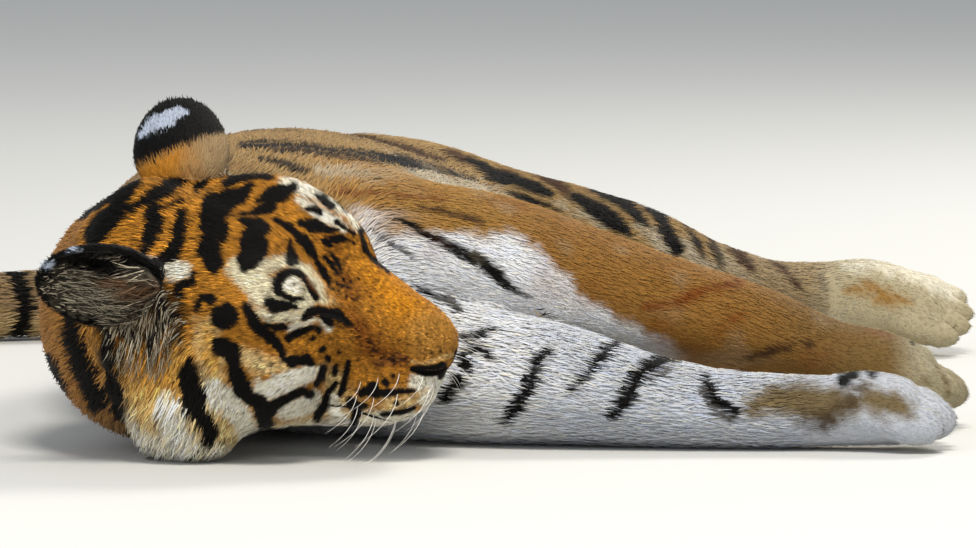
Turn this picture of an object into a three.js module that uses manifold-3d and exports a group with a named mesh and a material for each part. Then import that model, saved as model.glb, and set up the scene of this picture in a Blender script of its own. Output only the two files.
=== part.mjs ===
// A Siberian tigress asleep on her right side, life size, in millimetres.
// +X points from her back to her paws, +Y from her head to her tail, +Z up.
// The origin is on the floor under her rib cage, where she rests.
import * as THREE from "three";
import { mergeVertices } from "three/addons/utils/BufferGeometryUtils.js";
import Module from "manifold-3d";

const wasm = await Module();
wasm.setup();

const GAP = 0.3; // between touching parts
const FLOOR = 0; // the level that she rests on

// ---------------------------------------------------------------- solids

// A closed mesh as a solid.
function solidOf(geometry) {
  const bare = geometry.clone();
  bare.deleteAttribute("normal");
  bare.deleteAttribute("uv");
  const merged = mergeVertices(bare, 1e-3);
  const mesh = new wasm.Mesh({
    numProp: 3,
    vertProperties: merged.attributes.position.array,
    triVerts: new Uint32Array(merged.index.array),
  });
  return new wasm.Manifold(mesh);
}

// A solid's largest closed body, as a geometry.
function geometryOf(solid) {
  const bodies = solid.decompose();
  const largest = bodies.reduce((a, b) => (b.volume() > a.volume() ? b : a));
  const mesh = largest.getMesh();
  const geometry = new THREE.BufferGeometry();
  geometry.setAttribute("position", new THREE.BufferAttribute(mesh.vertProperties, 3));
  geometry.setIndex(new THREE.BufferAttribute(mesh.triVerts, 1));
  geometry.computeVertexNormals();
  return geometry;
}

const joined = (solids) => solids.reduce((a, b) => a.add(b));

// Everything under the floor.
const underFloor = solidOf(new THREE.BoxGeometry(4000, 4000, 200).translate(0, 0, FLOOR - 100));

// A closed surface from rings of points, each with as many points as the first, and a pole at either end.
function skinRings(rings, first, last, place = new THREE.Matrix4()) {
  const sides = rings[0].length;
  const points = [first, ...rings.flat(), last];
  const faces = [];
  const at = (ring, side) => 1 + ring * sides + (side % sides);
  for (let side = 0; side < sides; side++) {
    faces.push(0, at(0, side + 1), at(0, side));
    faces.push(points.length - 1, at(rings.length - 1, side), at(rings.length - 1, side + 1));
    for (let ring = 0; ring + 1 < rings.length; ring++) {
      const [a, b] = [at(ring, side), at(ring, side + 1)];
      const [c, d] = [at(ring + 1, side), at(ring + 1, side + 1)];
      faces.push(a, b, d, a, d, c);
    }
  }
  const geometry = new THREE.BufferGeometry().setFromPoints(points);
  geometry.setIndex(faces);
  return geometry.applyMatrix4(place);
}

// A limb or trunk: oval sections along a smooth line. Each station is [x, y, z, half width, half height],
// with the height as near upright as the line allows. The ends are domed by a part of the end section's size.
const DOME = 0.35;

function loft(stations, { rings = 16, sides = 14, grow = 0, place } = {}) {
  const line = new THREE.CatmullRomCurve3(stations.map(([x, y, z]) => new THREE.Vector3(x, y, z)));
  const sections = stations.map(([, , , wide, high]) => new THREE.Vector3(wide, high, 0));
  const sizes = new THREE.CatmullRomCurve3(sections);
  const made = [];
  for (let i = 0; i <= rings; i++) {
    const t = i / rings;
    const centre = line.getPoint(t);
    const along = line.getTangent(t);
    const size = sizes.getPoint(t);
    const up = new THREE.Vector3(0, 0, 1).addScaledVector(along, -along.z).normalize();
    const side = new THREE.Vector3().crossVectors(up, along);
    made.push(
      Array.from({ length: sides }, (_, k) => {
        const turn = (2 * Math.PI * k) / sides;
        return centre
          .clone()
          .addScaledVector(side, (size.x + grow) * Math.cos(turn))
          .addScaledVector(up, (size.y + grow) * Math.sin(turn));
      }),
    );
  }
  const end = (t, sign) => {
    const size = sizes.getPoint(t);
    const far = (DOME * (size.x + size.y)) / 2 + grow;
    return line.getPoint(t).addScaledVector(line.getTangent(t), sign * far);
  };
  return solidOf(skinRings(made, end(0, -1), end(1, 1), place));
}

// An ellipsoid: centre, half sizes and an optional turn.
function ball(centre, sizes, { place, detail = 2, grow = 0 } = {}) {
  const geometry = new THREE.IcosahedronGeometry(1, detail);
  geometry.scale(sizes[0] + grow, sizes[1] + grow, sizes[2] + grow);
  geometry.translate(...centre);
  return solidOf(place ? geometry.applyMatrix4(place) : geometry);
}

// ---------------------------------------------------------------- head
// In the head's own axes: x forward, y to her left, z up through the forehead, from between the eyes.

const HEAD_AT = new THREE.Vector3(12.8, -514.7, 168.1);
const HEAD_FORWARD = new THREE.Vector3(0.951, -0.209, -0.226).normalize();
const HEAD_UP = new THREE.Vector3(0.06, -0.595, 0.802).normalize();
const HEAD_LEFT = new THREE.Vector3().crossVectors(HEAD_UP, HEAD_FORWARD).normalize();
const HEAD = new THREE.Matrix4()
  .makeBasis(HEAD_FORWARD, HEAD_LEFT, new THREE.Vector3().crossVectors(HEAD_FORWARD, HEAD_LEFT))
  .setPosition(HEAD_AT);

// Ovals of flesh: [x, y, z, half sizes], those off the midline on both sides.
const HEAD_OVALS = {
  cranium: [-92, 0, -38, 108, 85, 73],
  occiput: [-168, 0, -42, 62, 92, 76],
  temple: [-78, 60, -4, 68, 44, 38],
  brow: [-32, 45, 0, 44, 34, 31],
  socket: [0, 40, -22, 29, 21, 24],
  masseter: [-46, 68, -64, 64, 48, 60],
  bridge: [40, 0, -42, 76, 36, 38],
  noseRoot: [20, 20, -34, 44, 28, 29],
  muzzlePad: [66, 27, -82, 39, 32, 31],
  nosePad: [95, 0, -57, 20, 24, 17],
  chin: [58, 0, -116, 34, 29, 18],
  mastoid: [-140, 84, -50, 52, 40, 48],
  ruff: [-100, 88, -104, 62, 48, 67],
  throat: [-100, 0, -112, 88, 86, 58],
  earRoot: [-156, 78, -4, 36, 34, 30],
};
// Tapered bars of flesh: [from x, y, z, half thickness, to x, y, z, half thickness].
const HEAD_BARS = {
  muzzle: [10, 0, -66, 54, 64, 0, -82, 40],
  zygoma: [-4, 50, -44, 22, -92, 84, -40, 36],
  jaw: [-60, 60, -92, 44, 52, 18, -112, 25],
};
const BLEND = 20; // how softly the forms run together

// The distance from a point to an oval, near enough close to its surface.
function toOval(p, [x, y, z, a, b, c]) {
  const [u, v, w] = [(p.x - x) / a, (p.y - y) / b, (p.z - z) / c];
  const k = Math.hypot(u, v, w);
  return (k * (k - 1)) / (Math.hypot(u / a, v / b, w / c) + 1e-9);
}

function toBar(p, [x0, y0, z0, r0, x1, y1, z1, r1]) {
  const along = new THREE.Vector3(x1 - x0, y1 - y0, z1 - z0);
  const from = new THREE.Vector3(p.x - x0, p.y - y0, p.z - z0);
  const t = THREE.MathUtils.clamp(from.dot(along) / along.lengthSq(), 0, 1);
  return from.addScaledVector(along, -t).length() - (r0 + (r1 - r0) * t);
}

function softMin(a, b, blend) {
  const h = Math.max(blend - Math.abs(a - b), 0) / blend;
  return Math.min(a, b) - (h * h * blend) / 4;
}

function toHead(p) {
  const mirrored = new THREE.Vector3(p.x, Math.abs(p.y), p.z);
  let nearest = Infinity;
  for (const oval of Object.values(HEAD_OVALS)) nearest = softMin(nearest, toOval(mirrored, oval), BLEND);
  for (const bar of Object.values(HEAD_BARS)) nearest = softMin(nearest, toBar(mirrored, bar), BLEND);
  return nearest;
}

// The point where a ray from inside leaves the flesh: the last stride inside, then halved down.
const SEARCH = { far: 260, stride: 4, halvings: 12 };

function reach(from, ray, grow) {
  const inFlesh = (far) => toHead(from.clone().addScaledVector(ray, far)) < grow;
  let inside = 0;
  for (let far = 0; far < SEARCH.far; far += SEARCH.stride) {
    if (inFlesh(far)) inside = far;
  }
  let outside = inside + SEARCH.stride;
  for (let i = 0; i < SEARCH.halvings; i++) {
    const middle = (inside + outside) / 2;
    if (inFlesh(middle)) inside = middle;
    else outside = middle;
  }
  return from.clone().addScaledVector(ray, inside);
}

// The middle of the head at a place along it, lower down towards the nose.
const AXIS = { from: -60, to: 100, zBack: -50, zFront: -74 };

function onAxis(x) {
  const t = THREE.MathUtils.clamp((x - AXIS.from) / (AXIS.to - AXIS.from), 0, 1);
  return new THREE.Vector3(x, 0, THREE.MathUtils.lerp(AXIS.zBack, AXIS.zFront, t));
}

// The head's skin: rings round its length, closer set towards both ends, each point where its ray leaves
// the flesh.
const END_CROWDING = 0.6;

function headShape(grow = 0, rings = 38, sides = 40) {
  const back = reach(onAxis(-150), new THREE.Vector3(-1, 0, 0), grow);
  const front = reach(onAxis(80), new THREE.Vector3(1, 0, 0), grow);
  const made = [];
  for (let i = 1; i < rings; i++) {
    const even = i / rings;
    const t = THREE.MathUtils.lerp(even, 0.5 - 0.5 * Math.cos(Math.PI * even), END_CROWDING);
    const centre = onAxis(THREE.MathUtils.lerp(back.x, front.x, t));
    made.push(
      Array.from({ length: sides }, (_, k) => {
        const turn = (2 * Math.PI * k) / sides;
        return reach(centre, new THREE.Vector3(0, Math.cos(turn), Math.sin(turn)), grow);
      }),
    );
  }
  return solidOf(skinRings(made, back, front, HEAD));
}

// The way out of the flesh at a point of the head, and the nearest point of its skin.
function outward(p) {
  const step = 1.5;
  const slope = ["x", "y", "z"].map((axis) => {
    const [ahead, behind] = [p.clone(), p.clone()];
    ahead[axis] += step;
    behind[axis] -= step;
    return toHead(ahead) - toHead(behind);
  });
  return new THREE.Vector3(...slope).normalize();
}

function onSkin(near) {
  const p = new THREE.Vector3(...near);
  const rate = 0.8;
  for (let i = 0; i < 6; i++) p.addScaledVector(outward(p), -rate * toHead(p));
  return p;
}

// The line of the mouth on her left, from the corner to the front, and the parting from there to the nose.
const MOUTH = [
  [24, 62, -97],
  [42, 55, -100],
  [58, 50, -106],
  [75, 47, -105],
  [90, 41, -98],
  [99, 26, -94],
  [104, 0, -91],
];
const MOUTH_CUT = { deep: 8, high: 1.5 };
const PARTING = [
  [114, 0, -70],
  [110, 0, -80],
  [104, 0, -91],
];
const PARTING_CUT = { wide: 1.5, deep: 5 };
const NOSTRIL = { at: [110, 17, -62], half: [9, 6, 5], slit: [98, 31, -58], slitHalf: [12, 3, 3] };

// A cutter along a line on the skin.
function groove(line, wide, high, rings) {
  const stations = line.map((near) => [...onSkin(near).toArray(), wide, high]);
  return loft(stations, { rings, sides: 6, place: HEAD });
}

function faceCuts() {
  const right = MOUTH.slice(0, -1).map(([x, y, z]) => [x, -y, z]);
  const mouth = groove([...MOUTH, ...right.reverse()], MOUTH_CUT.deep, MOUTH_CUT.high, 28);
  const parting = groove(PARTING, PARTING_CUT.wide, PARTING_CUT.deep, 5);
  const nostrils = [-1, 1].flatMap((side) =>
    [
      [NOSTRIL.at, NOSTRIL.half],
      [NOSTRIL.slit, NOSTRIL.slitHalf],
    ].map(([[x, y, z], half]) => ball(onSkin([x, side * y, z]).toArray(), half, { place: HEAD, detail: 1 })),
  );
  return joined([mouth, parting, ...nostrils]);
}

// A closed eye: a lens of lids that stands a little out of its socket, and the line where they meet. Its half
// sizes are along that line, outward and across the line.
const EYE = { at: [12, 53, -2], along: [0.78, -0.53, -0.33], half: [24, 9, 12], proud: 4 };
const LID_LINE = [
  [30, 43, -13],
  [24, 45, -9],
  [17, 49, -4],
  [9, 55, 1],
  [2, 61, 3],
  [-5, 68, 2],
];
const LID_CUT = { deep: 3, high: 1.3 };

// An eye's own axes, from its middle.
function eyePlace(side) {
  const [x, y, z] = EYE.at;
  const skin = onSkin([x, side * y, z]);
  const out = outward(skin);
  const [ahead, inward, down] = EYE.along;
  const along = new THREE.Vector3(ahead, side * inward, down);
  along.addScaledVector(out, -along.dot(out)).normalize();
  return new THREE.Matrix4()
    .makeBasis(along, out, new THREE.Vector3().crossVectors(along, out))
    .setPosition(skin.addScaledVector(out, EYE.proud - EYE.half[1]));
}

function eyeShape(side, grow = 0) {
  return ball([0, 0, 0], EYE.half, { place: HEAD.clone().multiply(eyePlace(side)), grow });
}

function lidCut(side) {
  const place = eyePlace(side);
  const toEye = place.clone().invert();
  const half = new THREE.Vector3(...EYE.half);
  const stations = LID_LINE.map(([x, y, z]) => {
    // The point of the lens that faces this point of the line.
    const toLine = new THREE.Vector3(x, side * y, z).applyMatrix4(toEye);
    const onLens = toLine.divideScalar(toLine.clone().divide(half).length()).applyMatrix4(place);
    return [...onLens.toArray(), LID_CUT.deep, LID_CUT.high];
  });
  return loft(stations, { rings: 8, sides: 6, place: HEAD });
}

// The ruff: flat, tapered locks in overlapping rows, from below the ear round the cheek to the throat.
// Each row is set at one place along the head, and its locks are spread round the cheek.
const RUFF_ROWS = [
  { x: -50, locks: 6, from: -34, to: -72, long: 42, wide: 20 },
  { x: -82, locks: 8, from: -14, to: -76, long: 54, wide: 22 },
  { x: -112, locks: 9, from: 4, to: -80, long: 60, wide: 23 },
  { x: -140, locks: 8, from: -2, to: -78, long: 56, wide: 24 },
];
const RUFF_LIE = new THREE.Vector3(-0.8, 0, -0.6); // back and down along the cheek
// The long hair in front of an ear, which lies out over its cup: [forward, across the ear, length].
const EAR_TUFTS = [
  [34, -34, 46],
  [38, -20, 54],
  [40, -6, 60],
  [40, 9, 60],
  [37, 23, 52],
  [31, 36, 44],
];
const TUFT = { wide: 15, fan: 0.012, forward: 0.3 };
const LOCK = { thick: 5.5, sunk: 12, lift: 0.15, tip: 0.1, bed: 3 };
// How far the draws below may move a lock: round the cheek, along the head, in length, aim and lift.
const STRAY = { turn: 0.18, along: 5, long: 0.15, aim: 0.16, lift: 0.07 };
// Along a lock from its root: [share of the length, of the width, of the lift].
const LOCK_RINGS = [
  [-0.25, 0.75, 0],
  [0.3, 1, 0.9],
  [0.7, 0.68, 0.8],
];

// Numbers between -1 and 1 that are the same on every run.
function steadyDraws(seed) {
  let state = seed;
  return () => {
    state = (Math.imul(state, 1664525) + 1013904223) >>> 0;
    return state / 2 ** 31 - 1;
  };
}

function lockShape(root, lie, long, wide, draw) {
  const out = outward(root);
  const along = lie.clone().addScaledVector(out, -lie.dot(out)).normalize();
  const across = new THREE.Vector3().crossVectors(out, along);
  along.addScaledVector(across, STRAY.aim * draw()).normalize();
  across.crossVectors(out, along);
  const lift = long * (LOCK.lift + STRAY.lift * draw());
  const at = (far, raised) =>
    root
      .clone()
      .addScaledVector(along, far * long)
      .addScaledVector(out, raised * lift - (far < 0 ? LOCK.sunk : 0));
  const made = LOCK_RINGS.map(([far, broad, raised]) => {
    const middle = at(far, raised);
    const [w, t] = [(broad * wide) / 2, (broad * LOCK.thick) / 2];
    return [
      middle.clone().addScaledVector(across, w),
      middle.clone().addScaledVector(out, t),
      middle.clone().addScaledVector(across, -w),
      middle.clone().addScaledVector(out, -t),
    ];
  });
  const bed = made[0].reduce((sum, p) => sum.add(p), new THREE.Vector3()).multiplyScalar(1 / 4);
  return solidOf(skinRings(made, bed.addScaledVector(along, -LOCK.bed), at(1, LOCK.tip), HEAD));
}

function ruffLocks() {
  const draw = steadyDraws(20261124);
  const made = [];
  for (const side of [-1, 1]) {
    RUFF_ROWS.forEach(({ x, locks, from, to, long, wide }, row) => {
      for (let i = 0; i < locks; i++) {
        const share = (i + (row % 2 ? 0.5 : 0) + STRAY.turn * draw()) / locks;
        const turn = THREE.MathUtils.degToRad(THREE.MathUtils.lerp(from, to, share));
        const ray = new THREE.Vector3(0, side * Math.cos(turn), Math.sin(turn));
        const root = reach(onAxis(x + STRAY.along * draw()), ray, 0);
        made.push(lockShape(root, RUFF_LIE, long * (1 + STRAY.long * draw()), wide, draw));
      }
    });
  }
  return joined(made);
}

function earTufts({ at, along, opens }, seed) {
  const draw = steadyDraws(seed);
  const { axis, back, across } = earAxes(along, opens);
  const made = EAR_TUFTS.map(([forward, aside, long]) => {
    const near = new THREE.Vector3(...at).addScaledVector(back, -forward).addScaledVector(across, aside);
    const centre = onAxis(near.x);
    const root = reach(centre, near.sub(centre).normalize(), 0);
    const lie = axis.clone().addScaledVector(across, TUFT.fan * aside).addScaledVector(back, -TUFT.forward);
    return lockShape(root, lie, long, TUFT.wide, draw);
  });
  return joined(made);
}

// An ear: a cup of even thickness on a solid root. Its back is convex, and it opens the other way.
// Along it, as shares of its length: where it is widest, where the cup starts to open and where it is open.
const EAR = { long: 84, halfWide: 42, deep: 27, thick: 6, sunk: 30, widest: 0.45, opens: 0.22, open: 0.5 };
const EAR_WRAP = THREE.MathUtils.degToRad(98); // how far its back wraps round, each way
const EAR_TIP = 0.985; // the last ring, as a share of its length
const EAR_SET = {
  left: { at: [-168, 84, 4], along: [-0.35, 0.85, 0.1], opens: [0.06, 0.14, -0.99] },
  right: { at: [-162, -94, 6], along: [-0.78, -0.47, 0.41], opens: [0.47, -0.84, 0.09] },
};

function earAxes(along, opens) {
  const axis = new THREE.Vector3(...along).normalize();
  const back = new THREE.Vector3(...opens).negate();
  back.addScaledVector(axis, -back.dot(axis)).normalize();
  return { axis, back, across: new THREE.Vector3().crossVectors(axis, back) };
}

function earShape({ at, along, opens }, { shift = [0, 0, 0], rings = 10, half = 9 } = {}) {
  const { axis, back, across } = earAxes(along, opens);
  const root = new THREE.Vector3(...at).addScaledVector(axis, -EAR.sunk).add(new THREE.Vector3(...shift));
  const full = EAR.long + EAR.sunk;
  const made = [];
  for (let i = 0; i <= rings; i++) {
    const t = EAR_TIP * Math.sin((0.5 * Math.PI * i) / rings);
    const below = Math.max(1 - t / EAR.widest, 0);
    const above = Math.max((t - EAR.widest) / (1 - EAR.widest), 0);
    const round = (1 - 0.35 * below ** 2) * Math.sqrt(1 - above ** 2);
    const wide = EAR.halfWide * round;
    const deep = EAR.deep * round * (1 - 0.55 * t);
    const open = THREE.MathUtils.smoothstep(t, EAR.opens, EAR.open);
    const thick = Math.min(EAR.thick, 0.45 * wide);
    const inner = THREE.MathUtils.lerp(-0.8 * deep, deep - thick, open);
    const point = (turn, w, d) =>
      root
        .clone()
        .addScaledVector(axis, t * full)
        .addScaledVector(across, w * Math.sin(turn))
        .addScaledVector(back, d * Math.cos(turn));
    const turns = Array.from({ length: half }, (_, k) => EAR_WRAP * ((2 * k) / (half - 1) - 1));
    const outer = turns.map((turn) => point(turn, wide, deep));
    const rim = 1 - thick / wide;
    const cup = [...turns].reverse().map((turn) => point(turn, wide * rim, inner));
    made.push([...outer, ...cup]);
  }
  const middle = (ring) => ring[(half - 1) / 2].clone().lerp(ring[half + (half - 1) / 2], 0.5);
  return solidOf(skinRings(made, middle(made[0]), middle(made[rings]).addScaledVector(axis, 1), HEAD));
}

// The room that an ear takes, with a gap all round: the ear moved by the gap each way.
function earRoom(set) {
  const room = 2 * GAP;
  const moves = [-room, room].flatMap((far) => [
    [far, 0, 0],
    [0, far, 0],
    [0, 0, far],
  ]);
  return joined(moves.map((shift) => earShape(set, { shift })));
}

// ---------------------------------------------------------------- trunk

const TORSO = [
  [-40, -325, 122, 95, 78],
  [-42, -262, 127, 150, 116],
  [-45, -150, 130, 182, 134],
  [-42, 0, 130, 190, 136],
  [-22, 160, 124, 184, 129],
  [16, 320, 112, 172, 116],
  [26, 460, 106, 158, 109],
  [30, 580, 105, 156, 109],
  [40, 672, 98, 118, 92],
  [46, 730, 90, 62, 52],
];
const NECK = [
  [-60, -200, 130, 132, 116],
  [-92, -270, 128, 126, 120],
  [-128, -335, 122, 119, 120],
  [-150, -400, 124, 106, 118],
  [-140, -462, 142, 94, 98],
];

const torsoShape = (grow = 0) => loft(TORSO, { rings: 20, sides: 24, grow });
const neckShape = (grow = 0) => loft(NECK, { rings: 8, sides: 20, grow });

// ---------------------------------------------------------------- legs

const FORELEG_LEFT = [
  [-10, -190, 150, 112, 84],
  [80, -205, 154, 104, 76],
  [150, -212, 146, 94, 73],
  [220, -214, 128, 84, 67],
  [300, -210, 110, 64, 56],
  [385, -205, 91, 51, 46],
  [460, -200, 66, 44, 39],
  [505, -200, 57, 47, 38],
  [540, -200, 47, 45, 33],
];
const FORELEG_RIGHT = [
  [10, -240, 84, 112, 84],
  [110, -300, 64, 98, 68],
  [210, -340, 54, 80, 57],
  [300, -365, 41, 57, 43],
  [370, -375, 35, 48, 37],
  [450, -380, 34, 44, 36],
  [486, -385, 37, 48, 38],
  [518, -388, 34, 46, 34],
];
const HINDLEG_LEFT = [
  [20, 600, 124, 150, 86],
  [90, 560, 121, 152, 81],
  [160, 515, 114, 140, 74],
  [228, 478, 106, 112, 69],
  [296, 462, 94, 84, 62],
  [360, 484, 74, 63, 49],
  [430, 530, 58, 51, 40],
  [480, 560, 54, 46, 40],
  [530, 550, 53, 44, 45],
  [585, 540, 43, 40, 38],
];
const HINDLEG_RIGHT = [
  [40, 600, 70, 130, 72],
  [130, 590, 54, 122, 58],
  [210, 575, 48, 100, 50],
  [280, 580, 43, 74, 45],
  [345, 625, 36, 56, 38],
  [410, 678, 32, 43, 34],
  [480, 667, 32, 40, 34],
  [530, 657, 29, 39, 31],
];
const TAIL = [
  [60, 690, 75, 50, 48],
  [-20, 730, 60, 44, 44],
  [-100, 740, 42, 42, 43],
  [-200, 732, 38, 40, 41],
  [-326, 700, 36, 38, 39],
  [-460, 630, 35, 37, 38],
  [-550, 520, 33, 35, 36],
  [-585, 400, 31, 33, 34],
  [-580, 320, 25, 26, 27],
  [-570, 285, 17, 12, 14],
];

// A paw at the end of a leg: a pad and four toes, spread across the leg's last direction.
// Each has the place of its toes' middle, its direction, the way across its toes and half the width of a toe.
const PAWS = {
  foreleg_left: { at: [546, -200, 45], ahead: [0.95, 0, -0.3], across: [0, 1, 0], toe: 15 },
  foreleg_right: { at: [524, -389, 34], ahead: [1, -0.05, -0.16], across: [0, 1, 0.15], toe: 15 },
  hindleg_left: { at: [594, 537, 42], ahead: [1, -0.1, -0.2], across: [0, 0.8, 0.6], toe: 12 },
  hindleg_right: { at: [540, 652, 28], ahead: [1, -0.15, -0.05], across: [0.1, 1, 0.1], toe: 12 },
};
const PAW_PAD = { at: [-16, 0, 1], half: [36, 46, 27] };
// The toes stand this far ahead of the middle and apart, and the outer two are set back. Lengths of a toe are
// in half widths.
const TOES = { ahead: 14, setBack: [9, 0, 0, 9], apart: 1.62, long: 2.1, high: 1.35, drop: 2 };

function pawShape({ at, ahead, across, toe }, grow = 0) {
  const x = new THREE.Vector3(...ahead).normalize();
  const z = new THREE.Vector3().crossVectors(x, new THREE.Vector3(...across)).normalize();
  const y = new THREE.Vector3().crossVectors(z, x);
  const place = new THREE.Matrix4().makeBasis(x, y, z).setPosition(new THREE.Vector3(...at));
  const pad = ball(PAW_PAD.at, PAW_PAD.half, { place, detail: 1, grow });
  const toes = TOES.setBack.map((back, i) => {
    const centre = [TOES.ahead - back, (i - 1.5) * TOES.apart * toe, -TOES.drop];
    return ball(centre, [TOES.long * toe, toe, TOES.high * toe], { place, detail: 1, grow });
  });
  return joined([pad, ...toes]);
}

// ---------------------------------------------------------------- assembly

const group = new THREE.Group();

function addNode(name, solid, look) {
  const mesh = new THREE.Mesh(geometryOf(solid), new THREE.MeshStandardMaterial(look));
  mesh.name = name;
  group.add(mesh);
}

const ORANGE = { color: 0xb9762f, roughness: 0.9, metalness: 0 };
const DARK = { color: 0x2a211b, roughness: 0.9, metalness: 0 };
const EAR_LOOK = { color: 0x4a3b30, roughness: 0.9, metalness: 0 };

const headGrown = headShape(GAP);
const torsoGrown = torsoShape(GAP);
const neckGrown = neckShape(GAP);
const eyeSockets = joined([-1, 1].map((side) => eyeShape(side, GAP)));

const legs = {
  foreleg_left: FORELEG_LEFT,
  foreleg_right: FORELEG_RIGHT,
  hindleg_right: HINDLEG_RIGHT,
  hindleg_left: HINDLEG_LEFT,
};
const legShape = (name, grow = 0) =>
  loft(legs[name], { rings: 18, sides: 14, grow }).add(pawShape(PAWS[name], grow));
const legsGrown = Object.fromEntries(Object.keys(legs).map((name) => [name, legShape(name, GAP)]));

const earRooms = Object.values(EAR_SET).map(earRoom);
const tufts = Object.values(EAR_SET).map((set, i) => earTufts(set, 11 + i));
const beside = joined([torsoGrown, neckGrown, legsGrown.foreleg_left, legsGrown.foreleg_right, ...earRooms]);
const locks = joined([ruffLocks(), ...tufts]).subtract(beside);
const head = headShape().subtract(faceCuts()).add(locks).subtract(eyeSockets);
addNode("head", head.subtract(underFloor), ORANGE);
addNode("eye_left", eyeShape(1).subtract(lidCut(1)), DARK);
addNode("eye_right", eyeShape(-1).subtract(lidCut(-1)), DARK);
addNode("ear_left", earShape(EAR_SET.left).subtract(headGrown), EAR_LOOK);
addNode("ear_right", earShape(EAR_SET.right).subtract(headGrown), EAR_LOOK);

addNode("torso", torsoShape().subtract(headGrown).subtract(underFloor), ORANGE);
const neck = neckShape().subtract(torsoGrown).subtract(headGrown);
addNode("neck", neck.subtract(underFloor), ORANGE);

let taken = joined([torsoGrown, neckGrown, headGrown]);
for (const name of Object.keys(legs)) {
  addNode(name, legShape(name).subtract(taken).subtract(underFloor), ORANGE);
  taken = taken.add(legsGrown[name]);
}
const tail = loft(TAIL, { rings: 24, sides: 10 });
addNode("tail", tail.subtract(taken).subtract(underFloor), ORANGE);

export default group;
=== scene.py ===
"""A life-size Siberian tiger asleep on her side: one skin, its coat of mesh tufts, and her face.

Shapes are worked out in millimetres in the model's own frame, and written to Blender in metres.
"""
import math

import bmesh
import bpy
import numpy as np
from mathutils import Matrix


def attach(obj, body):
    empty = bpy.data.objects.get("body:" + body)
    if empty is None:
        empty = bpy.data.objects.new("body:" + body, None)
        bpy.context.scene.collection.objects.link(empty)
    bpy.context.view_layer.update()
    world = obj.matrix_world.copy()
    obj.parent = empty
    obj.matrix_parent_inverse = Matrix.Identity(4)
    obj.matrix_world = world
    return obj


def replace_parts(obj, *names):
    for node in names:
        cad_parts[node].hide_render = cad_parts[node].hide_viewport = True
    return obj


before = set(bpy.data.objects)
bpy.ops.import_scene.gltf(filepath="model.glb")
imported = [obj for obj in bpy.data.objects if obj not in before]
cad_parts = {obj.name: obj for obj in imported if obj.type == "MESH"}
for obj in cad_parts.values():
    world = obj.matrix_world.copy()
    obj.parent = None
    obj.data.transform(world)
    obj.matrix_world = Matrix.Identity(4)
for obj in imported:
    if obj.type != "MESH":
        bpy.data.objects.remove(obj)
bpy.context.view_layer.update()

import openvdb
from mathutils import Vector
from mathutils.bvhtree import BVHTree

MM = 0.001
TINY = 1e-9
BIG = 1e3
draws = np.random.default_rng(11)


def array(*values):
    return np.array(values, dtype=float)


def unit(v):
    return v / np.maximum(np.linalg.norm(v, axis=-1, keepdims=True), TINY)


def smooth(low, high, x):
    t = np.clip((x - low) / (high - low), 0, 1)
    return t * t * (3 - 2 * t)


def mix(a, b, t):
    return a + (b - a) * t


# ---------------------------------------------------------------- camera
# The photograph's camera: millimetres, and degrees below the horizon.
PHOTO = (976, 548)
CAMERA = {"at": array(150.0, -8556.2, 836.2), "down": 4.75, "lens": 339.3, "sensor": 36.0, "clip": 100}
DOWN = math.radians(CAMERA["down"])
AHEAD = array(0, math.cos(DOWN), -math.sin(DOWN))
UPWARD = array(0, math.sin(DOWN), math.cos(DOWN))
FOCAL = CAMERA["lens"] / CAMERA["sensor"] * PHOTO[0]


def make_camera():
    data = bpy.data.cameras.new("camera")
    data.lens = CAMERA["lens"]
    data.sensor_width = CAMERA["sensor"]
    data.clip_end = CAMERA["clip"]
    camera = bpy.data.objects.new("camera", data)
    camera.location = CAMERA["at"] * MM
    camera.rotation_euler = (math.pi / 2 - DOWN, 0, 0)
    bpy.context.scene.collection.objects.link(camera)
    bpy.context.scene.camera = camera


def to_photo(p):
    """Where points fall in the photograph, in its pixels."""
    d = p - CAMERA["at"]
    far = d @ AHEAD
    return PHOTO[0] / 2 + FOCAL * d[:, 0] / far, PHOTO[1] / 2 - FOCAL * (d @ UPWARD) / far


make_camera()

# ---------------------------------------------------------------- forms
def soft_min(a, b, blend):
    """The nearer of two distances, with the join rounded off."""
    h = np.maximum(blend - np.abs(a - b), 0) / blend
    return np.minimum(a, b) - h * h * blend / 4


def soft_max(a, b, blend):
    return -soft_min(-a, -b, blend)


def from_oval(local, half):
    """About how far points lie outside an oval, given from its middle."""
    u = local / half
    k = np.linalg.norm(u, axis=1)
    return k * (k - 1) / (np.linalg.norm(u / half, axis=1) + TINY)


def to_oval(p, oval):
    """Distance to an oval: x, y, z and half sizes."""
    return from_oval(p - oval[:3], oval[3:])


def to_bar(p, bar):
    """Distance to a tapered bar: x, y, z and half thickness at each end."""
    a, b = bar[:3], bar[4:7]
    along = b - a
    t = np.clip((p - a) @ along / max(along @ along, TINY), 0, 1)
    return np.linalg.norm(p - a - t[:, None] * along, axis=1) - mix(bar[3], bar[7], t)


def to_chain(p, chain):
    """Distance to tapered bars end to end: rows of x, y, z and half thickness."""
    return np.min([to_bar(p, np.concatenate(pair)) for pair in zip(chain, chain[1:])], axis=0)


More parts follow.
